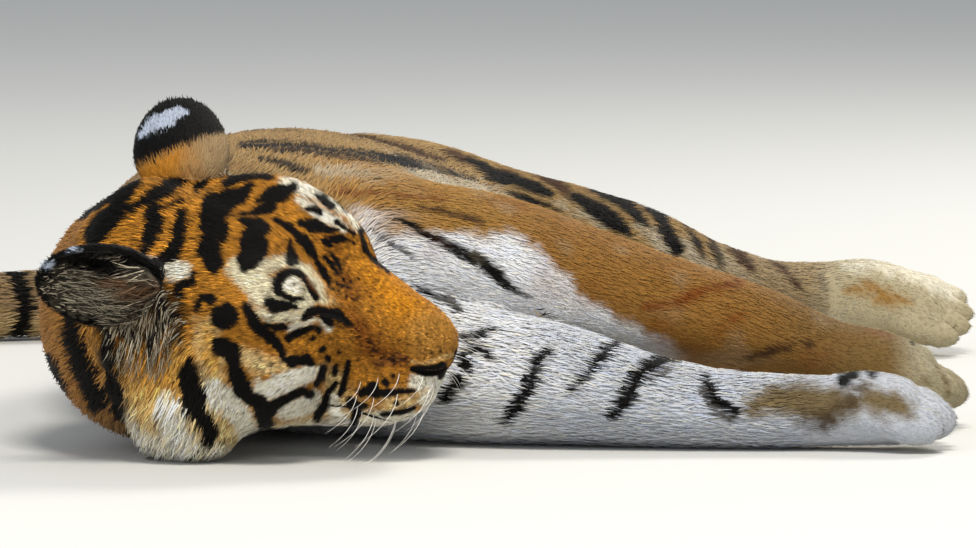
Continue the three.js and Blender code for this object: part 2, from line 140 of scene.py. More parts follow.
def through(points, count):
    """Even samples of a centripetal Catmull-Rom line through the points."""
    p = np.vstack([2 * points[0] - points[1], points, 2 * points[-1] - points[-2]])
    t = np.linspace(0, len(points) - 1, count)
    i = np.minimum(t.astype(int), len(points) - 2)
    w = (t - i)[:, None]
    a, b, c, d = (p[i + k] for k in range(4))
    knot = lambda u, v: np.maximum(np.sqrt(np.linalg.norm(v - u, axis=1, keepdims=True)), 1e-3)
    ab, bc, cd = knot(a, b), knot(b, c), knot(c, d)
    m0 = bc * ((b - a) / ab - (c - a) / (ab + bc) + (c - b) / bc)
    m1 = bc * ((c - b) / bc - (d - b) / (bc + cd) + (d - c) / cd)
    return (
        (2 * w**3 - 3 * w**2 + 1) * b
        + (w**3 - 2 * w**2 + w) * m0
        + (3 * w**2 - 2 * w**3) * c
        + (w**3 - w**2) * m1
    )


DOME = 0.35  # how far an end bulges, as a share of its section
LIMB_REACH = 70  # how far round a limb its distance is worked out
THINNEST = 4  # the least half section
AT_ONCE = 20000  # points placed in one go


class Limb:
    """A trunk or limb: oval sections along a smooth line, as the solids have it."""

    def __init__(self, stations, coat, samples=97):
        stations = np.array(stations, dtype=float)
        self.line = through(stations[:, :3], samples)
        self.size = through(stations[:, 3:], samples) - coat
        self.along = unit(np.gradient(self.line, axis=0))
        self.up = unit(array(0, 0, 1) - self.along * self.along[:, 2:])
        self.side = np.cross(self.up, self.along)
        self.far = np.concatenate([[0], np.cumsum(np.linalg.norm(np.diff(self.line, axis=0), axis=1))])
        reach = self.size.max() + LIMB_REACH
        self.box = self.line.min(0) - reach, self.line.max(0) + reach

    def near(self, p):
        return ((p > self.box[0]) & (p < self.box[1])).all(1)

    def place(self, p):
        """Points in their section, its half sizes, how far along the limb it is, and the way along."""
        best = np.concatenate([self.nearest(part) for part in np.array_split(p, len(p) // AT_ONCE + 1)])
        ahead = ((p - self.line[best]) * self.along[best]).sum(1)
        low = np.clip(np.where(ahead >= 0, best, best - 1), 0, len(self.line) - 2)
        step = self.line[low + 1] - self.line[low]
        t = np.clip(((p - self.line[low]) * step).sum(1) / (step * step).sum(1), 0, 1)[:, None]
        blend = lambda rows: mix(rows[low], rows[low + 1], t if rows.ndim == 2 else t[:, 0])
        d = p - blend(self.line)
        size = blend(self.size)
        cap = DOME * size.mean(1)
        local = np.stack([(d * blend(v)).sum(1) for v in (self.side, self.up, self.along)], 1)
        return local, np.column_stack([size, cap]), blend(self.far), blend(self.along)

    def nearest(self, p):
        square = (self.line**2).sum(1) - 2 * p @ self.line.T
        return square.argmin(1)

    def distance(self, p):
        local, size, _, _ = self.place(p)
        return from_oval(local, np.maximum(size, THINNEST))


# ---------------------------------------------------------------- head
# The head's own axes: x forward, y to her left, z up through the forehead, from between the eyes.
HEAD_AT = array(12.8, -514.7, 168.1)
HEAD_FORWARD = unit(array(0.951, -0.209, -0.226))
HEAD_LEFT = unit(np.cross(array(0.06, -0.595, 0.802), HEAD_FORWARD))
HEAD_AXES = np.stack([HEAD_FORWARD, HEAD_LEFT, np.cross(HEAD_FORWARD, HEAD_LEFT)])


def in_head(p):
    return (p - HEAD_AT) @ HEAD_AXES.T


def out_of_head(q):
    return q @ HEAD_AXES + HEAD_AT


# Ovals of flesh: x, y, z and half sizes, those off the midline on both sides.
HEAD_OVALS = {
    "cranium": (-92, 0, -38, 108, 85, 73),
    "occiput": (-168, 0, -42, 62, 92, 76),
    "temple": (-78, 60, -4, 68, 44, 38),
    "brow": (-32, 45, 0, 44, 34, 31),
    "socket": (0, 40, -22, 29, 21, 24),
    "masseter": (-46, 68, -64, 64, 48, 60),
    "bridge": (40, 0, -42, 76, 36, 38),
    "nose_root": (20, 20, -34, 44, 28, 29),
    "muzzle_pad": (66, 27, -82, 39, 32, 31),
    "nose_pad": (95, 0, -57, 20, 24, 17),
    "chin": (58, 0, -116, 34, 29, 18),
    "mastoid": (-140, 84, -50, 52, 40, 48),
    "ruff": (-100, 88, -104, 62, 48, 67),
    "throat": (-100, 0, -112, 88, 86, 58),
    "ear_root": (-156, 78, -4, 36, 34, 30),
}
# Tapered bars of flesh.
HEAD_BARS = {
    "muzzle": (10, 0, -66, 54, 64, 0, -82, 40),
    "zygoma": (-4, 50, -44, 22, -92, 84, -40, 36),
    "jaw": (-60, 60, -92, 44, 52, 18, -112, 25),
}
HEAD_MIDDLE = array(-55, 0, -50)
HEAD_REACH = array(230, 190, 230)
# How softly forms meet, in millimetres.
BLEND = {"flesh": 20, "eye": 6, "whisker_pad": 13, "nose_wing": 6, "lips": 5}
BLEND.update({"neck": 40, "head": 20, "leg": 35, "tail": 30, "paw": 10, "toe": 6})

MOUTH = [
    (24, 62, -97), (42, 55, -100), (58, 50, -106), (75, 47, -105),
    (90, 41, -98), (99, 26, -94), (103, 12, -92), (104, 0, -91),
]
PARTING = [(114, 0, -70), (110, 0, -80), (104, 0, -91)]
EYE = {"at": array(12, 53, -2), "along": array(0.78, -0.53, -0.33), "half": array(24, 9, 12), "proud": 4}
EYE_COVER = 1.4  # the lids over an eye
LID_LINE = [(28, 44, -11.5), (24, 45, -9), (17, 49, -4), (9, 55, 1), (2, 61, 3), (-5, 68, 2)]
LID = {"rows": 13, "half": 1.3, "taper": 0.5, "fold": 11, "fold_half": 1.0, "proud": 0.1}
NOSTRIL_LINE = [(113, 13, -63), (108, 22, -61), (102, 29, -59), (95, 32, -57), (89, 35, -55)]
WHISKER_LONG = (46, 58, 66, 62, 50)
WHISKER_ROW_LONG = (1.0, 1.05, 0.95, 0.8)


def both_sides(q):
    return np.column_stack([q[:, 0], np.abs(q[:, 1]), q[:, 2]])


HEAD_COAT = {"muzzle": 1.2, "face": 5.0, "cheek": 5}


def head_depth(q):
    """The coat's depth on the head: thin on the muzzle, deep on the cheeks."""
    face = mix(HEAD_COAT["muzzle"], HEAD_COAT["face"], smooth(70, -60, q[:, 0]))
    return face + HEAD_COAT["cheek"] * smooth(-50, -120, q[:, 0]) * smooth(20, 80, np.abs(q[:, 1]))


def plain_head(q):
    m = both_sides(q)
    d = np.full(len(q), BIG)
    for oval in HEAD_OVALS.values():
        d = soft_min(d, to_oval(m, array(*oval)), BLEND["flesh"])
    for bar in HEAD_BARS.values():
        d = soft_min(d, to_bar(m, array(*bar)), BLEND["flesh"])
    return d + head_depth(q)


def slope(field, p, step=1.0):
    """The way out of a form at points near its surface."""
    moves = np.eye(3) * step
    return unit(np.stack([field(p + m) - field(p - m) for m in moves], 1))


def settle(field, p, rounds=5, rate=0.9):
    """Points moved onto a form's surface."""
    p = np.array(p, dtype=float)
    for _ in range(rounds):
        p = p - rate * field(p)[:, None] * slope(field, p)
    return p


def eye_axes():
    """A left eye's middle and its axes: along the line of the lids, outward and across."""
    at = settle(plain_head, [EYE["at"]])
    out = slope(plain_head, at)[0]
    along = unit(EYE["along"] - (EYE["along"] @ out) * out)
    return at[0] + (EYE["proud"] - EYE["half"][1]) * out, np.stack([along, out, np.cross(along, out)])


EYE_AT, EYE_AXES = eye_axes()


def to_eye(m):
    return from_oval((m - EYE_AT) @ EYE_AXES.T, EYE["half"])


def eyed_head(q):
    """The head with its closed eyes."""
    return soft_min(plain_head(q), to_eye(both_sides(q)), BLEND["eye"])


def on_head(points, half, sunk=0.0, field=plain_head):
    """A chain on the head's surface, sunk into it."""
    line = settle(field, points)
    line = line - sunk * slope(field, line)
    half = np.broadcast_to(half, len(line))
    return np.column_stack([line, half])


def lid_arc(high):
    """A line round the lens of an eye, above or below the line of the lids."""
    turn = np.linspace(-1, 1, 9)
    rise = -high * np.sqrt(1.05 - turn**2)
    return np.stack([turn * EYE["half"][0], 0 * turn + EYE["half"][1], rise], 1) @ EYE_AXES + EYE_AT


def pit_place(row, step):
    """A whisker's root, before it settles on the pad: rows run back and out from the nose."""
    return 96 - 11 * step, 21 + 6.2 * step - 0.45 * step * step, -72 - row * 7 - 0.6 * step


lid_half = LID["half"] * np.sin(np.linspace(LID["taper"], math.pi - LID["taper"], LID["rows"]))
LIDS = on_head(through(np.array(LID_LINE), LID["rows"]), lid_half, 0.0, eyed_head)
LIP_LINE = on_head([(p[0] - 2, p[1], p[2] - 7) for p in MOUTH], (2, 3, 3.5, 4, 4, 4, 4, 4), 1)
MOUTH_LINE = on_head(MOUTH, (1, 1.4, 1.8, 2, 2, 2, 2, 2), 0)
PARTING_LINE = on_head(PARTING, 1.2, 0)
NOSE_WING = array(101, 18, -53, 12, 10, 7)
NOSTRIL = on_head(NOSTRIL_LINE, (4.4, 4.4, 3.2, 2.4, 1.2), 0.6)
WHISKER_PAD = on_head([(90, 26, -84), (74, 38, -86), (54, 44, -84)], (8, 10, 5), 7)
LID_FOLDS = [
    on_head(lid_arc(high), LID["fold_half"], -LID["proud"], eyed_head) for high in (LID["fold"], -LID["fold"])
]
pit_places = [(row, step) for row in range(len(WHISKER_ROW_LONG)) for step in range(len(WHISKER_LONG))]
PITS = settle(plain_head, [pit_place(*place) for place in pit_places])
# The cuts in the face, and how softly each runs out.
CUTS = [(fold, 2.5) for fold in LID_FOLDS]
CUTS += [(LIDS, 1), (MOUTH_LINE, 1.5), (PARTING_LINE, 1), (NOSTRIL, 1.5)]
FACE_BACK = -60  # the folds lie ahead of this
FOLD_REACH = 25


def head_distance(q):
    """The head with its folds: lids, nostrils, lips and whisker pads."""
    d = plain_head(q)
    close = (q[:, 0] > FACE_BACK) & (np.abs(d) < FOLD_REACH)
    if close.any():
        m = both_sides(q[close])
        e = soft_min(d[close], to_eye(m), BLEND["eye"])
        e = soft_min(e, to_chain(m, WHISKER_PAD), BLEND["whisker_pad"])
        e = soft_min(e, to_oval(m, NOSE_WING), BLEND["nose_wing"])
        e = soft_min(e, to_chain(m, LIP_LINE), BLEND["lips"])
        for cut, blend in CUTS:
            e = soft_max(e, -to_chain(m, cut), blend)
        d[close] = e
    return d


class Head:
    def near(self, p):
        q = in_head(p) - HEAD_MIDDLE
        return (np.abs(q) < HEAD_REACH).all(1)

    def distance(self, p):
        return head_distance(in_head(p))


# ---------------------------------------------------------------- body
# Sections along each line: x, y, z, half width and half height, as in the solids.
TORSO = [
    (-40, -325, 122, 95, 78),
    (-42, -262, 127, 150, 116),
    (-45, -150, 130, 182, 134),
    (-42, 0, 130, 190, 136),
    (-22, 160, 124, 184, 129),
    (16, 320, 112, 172, 116),
    (26, 460, 106, 158, 109),
    (30, 580, 105, 156, 109),
    (40, 672, 98, 118, 92),
    (46, 730, 90, 62, 52),
]
NECK = [
    (-60, -200, 130, 132, 116),
    (-92, -270, 128, 126, 120),
    (-128, -335, 122, 119, 120),
    (-150, -400, 124, 106, 118),
    (-140, -462, 142, 94, 98),
]
FORELEG_LEFT = [
    (-10, -190, 150, 112, 84),
    (80, -205, 154, 104, 76),
    (150, -212, 146, 94, 73),
    (220, -214, 128, 84, 67),
    (300, -210, 110, 64, 56),
    (385, -205, 91, 51, 46),
    (460, -200, 66, 44, 39),
    (505, -200, 57, 47, 38),
    (540, -200, 47, 45, 33),
]
FORELEG_RIGHT = [
    (10, -240, 84, 112, 84),
    (110, -300, 64, 98, 68),
    (210, -340, 54, 80, 57),
    (300, -365, 41, 57, 43),
    (370, -375, 35, 48, 37),
    (450, -380, 34, 44, 36),
    (486, -385, 37, 48, 38),
    (518, -388, 34, 46, 34),
]
HINDLEG_LEFT = [
    (20, 600, 124, 150, 86),
    (90, 560, 121, 152, 81),
    (160, 515, 114, 140, 74),
    (228, 478, 106, 112, 69),
    (296, 462, 94, 84, 62),
    (360, 484, 74, 63, 49),
    (430, 530, 58, 51, 40),
    (480, 560, 54, 46, 40),
    (530, 550, 53, 44, 45),
    (585, 540, 43, 40, 38),
]
HINDLEG_RIGHT = [
    (40, 600, 70, 130, 72),
    (130, 590, 54, 122, 58),
    (210, 575, 48, 100, 50),
    (280, 580, 43, 74, 45),
    (345, 625, 36, 56, 38),
    (410, 678, 32, 43, 34),
    (480, 667, 32, 40, 34),
    (530, 657, 29, 39, 31),
]
TAIL = [
    (60, 690, 75, 50, 48),
    (-20, 730, 60, 44, 44),
    (-100, 740, 42, 42, 43),
    (-200, 732, 38, 40, 41),
    (-326, 700, 36, 38, 39),
    (-460, 630, 35, 37, 38),
    (-550, 520, 33, 35, 36),
    (-585, 400, 31, 33, 34),
    (-580, 320, 25, 26, 27),
    (-570, 285, 17, 12, 14),
]
# Paws: place, the ways ahead and across, and the half width of a toe.
PAWS = {
    "foreleg_left": ((546, -200, 45), (0.95, 0, -0.3), (0, 1, 0), 15),
    "foreleg_right": ((524, -389, 34), (1, -0.05, -0.16), (0, 1, 0.15), 15),
    "hindleg_left": ((594, 537, 42), (1, -0.1, -0.2), (0, 0.8, 0.6), 12),
    "hindleg_right": ((540, 652, 28), (1, -0.15, -0.05), (0.1, 1, 0.1), 12),
}
PAW_PAD = (-16, 0, 1, 36, 46, 27)
TOES = {"ahead": 14, "set_back": (9, 0, 0, 9), "apart": 1.62, "long": 2.1, "high": 1.35, "drop": 2}
PAW_COAT = 3.0
TOE_COAT = 0.6  # as a share of the paw's
PAW_REACH = 160


class Paw:
    """A pad with four toes."""

    def __init__(self, at, ahead, across, toe):
        self.at = array(*at)
        x = unit(array(*ahead))
        z = unit(np.cross(x, array(*across)))
        self.axes = np.stack([x, np.cross(z, x), z])
        coat = array(0, 0, 0, PAW_COAT, PAW_COAT, PAW_COAT)
        self.pad = array(*PAW_PAD) - coat
        self.toes = [
            array(TOES["ahead"] - back, (i - 1.5) * TOES["apart"] * toe, -TOES["drop"],
                  TOES["long"] * toe, toe, TOES["high"] * toe) - coat * TOE_COAT
            for i, back in enumerate(TOES["set_back"])
        ]

    def distance(self, p):
        q = (p - self.at) @ self.axes.T
        toes = np.min([to_oval(q, toe) for toe in self.toes], axis=0)
        return soft_min(toes, to_oval(q, self.pad), BLEND["toe"])


class Leg(Limb):
    def __init__(self, stations, coat, paw):
        super().__init__(stations, coat)
        self.paw = Paw(*paw)

    def distance(self, p):
        d = super().distance(p)
        close = np.linalg.norm(p - self.paw.at, axis=1) < PAW_REACH
        if close.any():
            d[close] = soft_min(d[close], self.paw.distance(p[close]), BLEND["paw"])
        return d


COAT_DEPTH = {"torso": 8, "neck": 9, "leg": 5, "tail": 8}
PARTS = {
    "torso": Limb(TORSO, COAT_DEPTH["torso"]),
    "neck": Limb(NECK, COAT_DEPTH["neck"]),
    "head": Head(),
    "foreleg_left": Leg(FORELEG_LEFT, COAT_DEPTH["leg"], PAWS["foreleg_left"]),
    "foreleg_right": Leg(FORELEG_RIGHT, COAT_DEPTH["leg"], PAWS["foreleg_right"]),
    "hindleg_left": Leg(HINDLEG_LEFT, COAT_DEPTH["leg"], PAWS["hindleg_left"]),
    "hindleg_right": Leg(HINDLEG_RIGHT, COAT_DEPTH["leg"], PAWS["hindleg_right"]),
    "tail": Limb(TAIL, COAT_DEPTH["tail"], 161),
}
NAMES = list(PARTS)
LEGS = [n for n in NAMES if "leg" in n]
FLOOR_GAP = 3.0  # the fur's thickness under her weight


def distances(p):
    """The distance from points to every part, far ones left at BIG."""
    out = {}
    for name, part in PARTS.items():
        d = np.full(len(p), BIG)
        close = part.near(p)
        if close.any():
            d[close] = part.distance(p[close])
        out[name] = d
    return out


def skin_distance(p):
    """The distance to one skin over all parts, flat where it lies on the floor."""
    d = distances(p)
    body = soft_min(d["torso"], d["neck"], BLEND["neck"])
    whole = soft_min(body, d["head"], BLEND["head"])
    for leg in LEGS:
        whole = np.minimum(whole, soft_min(body, d[leg], BLEND["leg"]))
    whole = np.minimum(whole, soft_min(body, d["tail"], BLEND["tail"]))
    return np.maximum(whole, FLOOR_GAP - p[:, 2])


# ---------------------------------------------------------------- skin
SKIN_STEP = 7.0  # the size of its faces on the body
SKIN_GRID = {"trim": 45, "front": -700, "top": 330, "passes": 24, "band": 3}


def box_grid(low, high, step):
    axes = [np.arange(a, b, step) for a, b in zip(low, high)]
    grid = np.stack(np.meshgrid(*axes, indexing="ij"), -1)
    return grid.reshape(-1, 3), grid.shape[:3]


def skin_mesh():
    """The skin's points and four-sided faces, from its distance on an even grid."""
    boxes = [part.box for part in PARTS.values() if hasattr(part, "box")]
    low = np.min([box[0] for box in boxes], axis=0) + SKIN_GRID["trim"]
    high = np.max([box[1] for box in boxes], axis=0) - SKIN_GRID["trim"]
    low[1] = SKIN_GRID["front"]
    low[2] = -SKIN_STEP * 1.5
    high[2] = SKIN_GRID["top"]
    points, shape = box_grid(low, high, SKIN_STEP)
    field = np.concatenate([skin_distance(part) for part in np.array_split(points, SKIN_GRID["passes"])])
    voxels = np.clip(field / SKIN_STEP, -SKIN_GRID["band"], SKIN_GRID["band"])
    grid = openvdb.FloatGrid(float(SKIN_GRID["band"]))
    grid.copyFromArray(voxels.reshape(shape).astype(np.float32))
    points, quads = grid.convertToQuads(isovalue=0.0)
    return points * SKIN_STEP + low, quads


def rows_of(source, key):
    """A mesh's values in threes, such as its places."""
    out = np.empty(len(source) * 3, dtype=np.float32)
    source.foreach_get(key, out)
    return out.reshape(-1, 3).astype(float)


def vertex_normals(mesh):
    return rows_of(mesh.vertex_normals, "vector")


def vertex_places(mesh):
    return rows_of(mesh.vertices, "co")


def triangles_of(mesh):
    mesh.calc_loop_triangles()
    tris = np.empty(len(mesh.loop_triangles) * 3, dtype=np.int32)
    mesh.loop_triangles.foreach_get("vertices", tris)
    return tris.reshape(-1, 3)


def put_places(mesh, p):
    mesh.vertices.foreach_set("co", p.astype(np.float32).ravel())
    mesh.update()


def turn_outward(mesh):
    """Flips a closed mesh whose faces look inward."""
    a, b, c = vertex_places(mesh)[triangles_of(mesh)].transpose(1, 0, 2)
    if (a * np.cross(b, c)).sum() < 0:
        mesh.flip_normals()


def shade_smooth(mesh):
    mesh.polygons.foreach_set("use_smooth", np.ones(len(mesh.polygons), dtype=bool))


def relax(mesh, rounds, rate=0.8):
    """Moves the vertices onto the exact form along their normals."""
    for _ in range(rounds):
        p = vertex_places(mesh)
        d = np.clip(skin_distance(p), -SKIN_STEP, SKIN_STEP)
        put_places(mesh, p - rate * d[:, None] * vertex_normals(mesh))


def keep_largest(mesh):
    """Drops scraps and sealed hollows."""
    bm = bmesh.new()
    bm.from_mesh(mesh)
    left = set(bm.verts)
    shells = []
    while left:
        edge = [left.pop()]
        shell = set(edge)
        while edge:
            v = edge.pop()
            for e in v.link_edges:
                other = e.other_vert(v)
                if other in left:
                    left.discard(other)
                    shell.add(other)
                    edge.append(other)
        shells.append(shell)
    shells.sort(key=len)
    for shell in shells[:-1]:
        bmesh.ops.delete(bm, geom=list(shell), context="VERTS")
    bm.to_mesh(mesh)
    bm.free()


def refine(mesh, inside, rounds):
    """Halves the faces whose middles lie in a region, then settles them on the form."""
    bm = bmesh.new()
    bm.from_mesh(mesh)
    middles = np.array([f.calc_center_median() for f in bm.faces])
    edges = {e for f, chosen in zip(bm.faces, inside(middles)) if chosen for e in f.edges}
    bmesh.ops.subdivide_edges(bm, edges=list(edges), cuts=1, use_grid_fill=True)
    bm.to_mesh(mesh)
    bm.free()
    relax(mesh, rounds)


HEAD_BOX = {"back": -235, "beside": 150, "up": -50, "face": -30}
NEAR_SKIN = 6


def on_whole_head(p):
    q = in_head(p)
    level = np.abs(q[:, 2] - HEAD_BOX["up"]) < HEAD_BOX["beside"]
    beside = np.abs(q[:, 1]) < HEAD_BOX["beside"]
    return (q[:, 0] > HEAD_BOX["back"]) & beside & level & (head_distance(q) < NEAR_SKIN)


def on_face(p):
    q = in_head(p)
    return (q[:, 0] > HEAD_BOX["face"]) & (head_distance(q) < NEAR_SKIN)


def make_skin():
    points, quads = skin_mesh()
    mesh = bpy.data.meshes.new("skin")
    mesh.from_pydata(points.tolist(), [], quads.tolist())
    turn_outward(mesh)
    relax(mesh, 3)
    keep_largest(mesh)
    refine(mesh, on_whole_head, 3)
    refine(mesh, on_face, 4)
    return mesh


def loft(name, points, around):
    """A closed mesh over rings of points, whose two last points are the middles of its ends."""
    count = (len(points) - 2) // around
    last = (count - 1) * around
    faces = []
    for i in range(count - 1):
        for k in range(around):
            n = (k + 1) % around
            faces.append((i * around + k, i * around + n, (i + 1) * around + n, (i + 1) * around + k))
    for k in range(around):
        n = (k + 1) % around
        faces.append((len(points) - 2, n, k))
        faces.append((len(points) - 1, last + k, last + n))
    mesh = bpy.data.meshes.new(name)
    mesh.from_pydata(points.tolist(), [], faces)
    turn_outward(mesh)
    return mesh


# ---------------------------------------------------------------- ears
EAR = {"long": 84, "half_wide": 42, "deep": 27, "thick": 5, "sunk": 30, "inset": 3.0}
EAR_SHAPE = {"widest": 0.45, "opens": 0.22, "open": 0.5, "foot": 0.35, "flat": 0.55, "rings": 22, "half": 21}
EAR_WRAP = math.radians(98)
EAR_TIP = 0.985
EAR_SET = {
    "left": ((-168, 84, 4), (-0.35, 0.85, 0.1), (0.06, 0.14, -0.99)),
    "right": ((-162, -94, 6), (-0.78, -0.47, 0.41), (0.47, -0.84, 0.09)),
}


def ear_axes(side):
    """Where an ear stands on the head, and its ways up, back and across."""
    at, along, opens = (array(*v) for v in EAR_SET[side])
    axis = unit(along)
    back = unit(-opens - (-opens @ axis) * axis)
    return at - EAR["sunk"] * axis, axis, back, np.cross(axis, back)


def ear_ring(t, root, axis, back, across):
    """A ring of an ear at a share of its length: its outer side, then its cup."""
    widest = EAR_SHAPE["widest"]
    below = max(1 - t / widest, 0)
    above = max((t - widest) / (1 - widest), 0)
    shape = (1 - EAR_SHAPE["foot"] * below**2) * math.sqrt(1 - above**2)
    wide = EAR["half_wide"] * shape - EAR["inset"] * 0.6
    deep = EAR["deep"] * shape * (1 - EAR_SHAPE["flat"] * t) - EAR["inset"] * 0.6
    open_by = float(smooth(EAR_SHAPE["opens"], EAR_SHAPE["open"], t))
    thick = min(EAR["thick"], 0.45 * wide)
    inner = mix(-0.8 * deep, deep - thick, open_by)
    rim = 1 - thick / wide
    full = EAR["long"] + EAR["sunk"] - EAR["inset"]
    turns = EAR_WRAP * np.linspace(-1, 1, EAR_SHAPE["half"])
    middle = root + t * full * axis
    at_turn = lambda turn, w, d: middle + w * math.sin(turn) * across + d * math.cos(turn) * back
    outer = [at_turn(turn, wide, deep) for turn in turns]
    return outer + [at_turn(turn, wide * rim, inner) for turn in turns[::-1]]


def make_ear(side):
    """An ear's skin, still in millimetres."""
    root, axis, back, across = ear_axes(side)
    rings, half = EAR_SHAPE["rings"], EAR_SHAPE["half"]
    shares_up = [EAR_TIP * math.sin(0.5 * math.pi * i / rings) for i in range(rings + 1)]
    made = np.array([ear_ring(t, root, axis, back, across) for t in shares_up])
    middle = lambda ring: (ring[half // 2] + ring[half + half // 2]) / 2
    points = np.vstack([made.reshape(-1, 3), middle(made[0]), middle(made[-1]) + axis])
    return loft("ear_" + side, out_of_head(points), 2 * half)


# ---------------------------------------------------------------- markings
# Strokes as seen from the camera: rows of pixel x, pixel y and half width, each on the part that it names.
HEAD_BLACK = [
    [(142, 174, 3), (134, 185, 8), (120, 199, 8.5), (117, 215, 8.5), (106, 222, 10), (96, 234, 10),
     (96, 240, 8)],
    [(140, 172, 3), (124, 181, 6), (108, 194, 8), (98, 206, 6)],
    [(108, 196, 5.5), (93, 206, 5.5), (83, 217, 4)],
    [(204, 166, 2), (187, 175, 5), (170, 187, 6.5), (156, 196, 7), (142, 203, 4), (130, 210, 4)],
    [(231, 158, 3), (225, 164, 3.5), (217, 173, 3.5), (204, 178, 5), (198, 188, 4), (195, 192, 1.5)],
    [(180, 202, 1.7), (172, 205, 2.5), (162, 209, 1.7)],
    [(152, 213, 8), (152, 226, 8), (149, 239, 7.5), (145, 250, 4), (141, 258, 1.7)],
    [(180, 215, 5), (179, 229, 5.5), (176, 243, 7), (172, 254, 7.5), (160, 262, 5), (146, 269, 5),
     (137, 276, 2.5)],
    [(250, 186, 3), (240, 196, 7), (226, 202, 11), (215, 209, 15), (211, 223, 12.5), (208, 230, 8)],
    [(221, 229, 7), (222, 240, 3.5)],
    [(225, 185, 3.5), (236, 180, 3), (250, 177, 2.5), (260, 177, 2.5), (270, 178, 1.7)],
    [(208, 240, 8.5), (209, 251, 12), (212, 262, 10), (214, 272, 3.5)],
    [(291, 189, 5.6), (282, 193, 7.7), (271, 196, 7.7), (263, 199, 4), (256, 202, 1.7)],
    [(270, 206, 5.6), (260, 210, 5), (247, 214, 1.5), (229, 216, 0.8)],
    [(240, 220, 2), (250, 224, 5), (259, 227, 7), (264, 229, 5.5)],
    [(252, 240, 12.5), (254, 248, 14.5), (249, 258, 12), (244, 269, 4)],
    [(289, 243, 1.7), (290, 252, 4), (292, 261, 6)],
    [(275, 220, 2), (287, 226, 2.8), (296, 233, 3), (303, 241, 5), (310, 250, 5.6), (315, 257, 2.8)],
    [(316, 262, 1.5), (322, 271, 3.3), (327, 280, 2.5), (329, 289, 1)],
    [(324, 257, 1.7), (331, 265, 2.2), (336, 273, 2)],
    [(331, 255, 1.5), (337, 262, 1.5), (341, 273, 1.5)],
    [(301, 223, 3.5), (313, 226, 7), (320, 228, 5), (329, 230, 2.5), (337, 230, 1.7)],
    [(306, 209, 2), (315, 210, 2.8), (320, 213, 1.7)],
    [(316, 196, 2), (324, 200, 3.5), (331, 206, 2.8)],
    [(334, 199, 2), (341, 203, 2.8), (347, 209, 3.5)],
    [(336, 223, 1.7), (344, 227, 1.5), (353, 234, 1.3)],
    [(333, 240, 3.5), (341, 238, 3.5), (347, 240, 2), (353, 243, 1.3)],
    [(323, 241, 2), (330, 245, 2.2)],
    [(360, 230, 2), (362, 240, 2), (365, 250, 2.8), (371, 258, 1.7), (381, 266, 1.5), (388, 272, 1)],
    # round the eye
    [(278, 292, 5), (277, 283, 5), (281, 276, 5), (289, 272, 3.5), (296, 272, 2.8), (301, 276, 2)],
    [(302, 277, 1.6), (306, 284, 1.2), (310, 292, 1.4), (315, 299, 1.6)],
    [(284, 296, 2.8), (292, 299, 2), (301, 299, 1.7)],
    [(270, 303, 5.6), (274, 306, 7), (281, 306, 5), (291, 306, 2), (296, 307, 1)],
    [(303, 318.5, 2.2), (309, 312.5, 4.6), (316, 310, 4), (326, 312, 4), (336, 314, 5), (344, 319, 3.5),
     (350, 324, 1)],
    [(322, 316, 2.8), (330, 323, 2.8)],
    [(244, 304, 1.7), (250, 316, 5), (259, 328, 6.3), (270, 337, 5.6), (273, 338, 4), (280, 348, 4),
     (282, 355, 2.8)],
    [(264, 324, 2), (275, 327, 3.5), (284, 327, 2.8)],
    [(288, 338, 3.5), (299, 332, 3.2), (309, 328, 2.2), (315, 326.5, 1.8), (319, 331, 2.2)],
    [(284, 359, 2), (291, 362, 5.6), (299, 361, 4.2), (306, 359, 5.6), (312, 363, 2.8)],
    # cheek
    [(323, 368, 2.8), (320, 377, 4), (316, 384, 2)],
    [(336, 365, 1.4), (334, 373, 2)],
    [(327, 358, 2), (328, 359, 2)],
    [(338, 352, 1.1), (339, 353, 1.1)],
    [(348, 362, 1.4), (346, 375, 3), (343, 387, 3), (340, 394, 1.4)],
    [(336, 383, 1.7), (327, 393, 3), (324, 406, 4.2), (316, 417, 2.8)],
    [(320, 351, 1.3), (323, 348, 1.3)],
    [(312, 338, 1.5), (312, 339, 1.5)],
    [(224, 316, 12.6), (225, 316, 12.6)],
    [(221, 346, 9.8), (231, 350, 8.4), (233, 364, 6.3), (238, 378, 8.4), (243, 390, 8.4), (249, 397, 7)],
    [(249, 397, 7), (260, 402, 7), (265, 425, 8), (270, 445, 8)],
    [(263, 415, 8.4), (274, 406, 5), (288, 398, 4.2), (301, 391, 4.2), (309, 394, 3.5)],
    [(190, 358, 1.7), (189, 369, 7), (189, 379, 9), (193, 393, 11), (194, 407, 9.8), (198, 417, 5.6)],
    [(198, 417, 5.6), (205, 420, 7), (210, 431, 7), (207, 442, 4.2)],
    [(193, 273, 1.7), (193, 282, 4), (183, 285, 3.5), (177, 291, 4), (180, 298, 2)],
    [(211, 299, 4.2), (201, 299, 4), (197, 308, 3.5)],
    # muzzle
    [(385, 382, 3), (386, 383, 3)],
    [(393, 376, 1.7), (394, 376, 1.7)],
    [(361, 393, 3.5), (372, 389, 6.3), (376, 394, 3.5)],
    [(383, 393, 2.5), (395, 393, 2.5), (407, 391, 1.7), (414, 391, 1.1)],
    [(395, 403, 1.7), (396, 403, 1.7)],
    [(350, 401, 3.5), (358, 404, 2.8), (364, 406, 2.8)],
    [(383, 415, 2), (395, 413, 2), (406, 411, 2), (414, 408, 1)],
    [(350, 405, 4), (358, 408, 4), (352, 425, 4)],
    [(278, 437, 6), (292, 455, 6)],
]
NOSE_BLACK = [
    [(413, 369, 2.8), (420, 370, 5), (428, 371, 5), (437, 370, 5.6), (442, 366, 4.2), (445, 372, 3.5),
     (440, 377, 2)],
    [(456, 352, 1.4), (454, 362, 1.6), (450, 370, 1.4)],
]
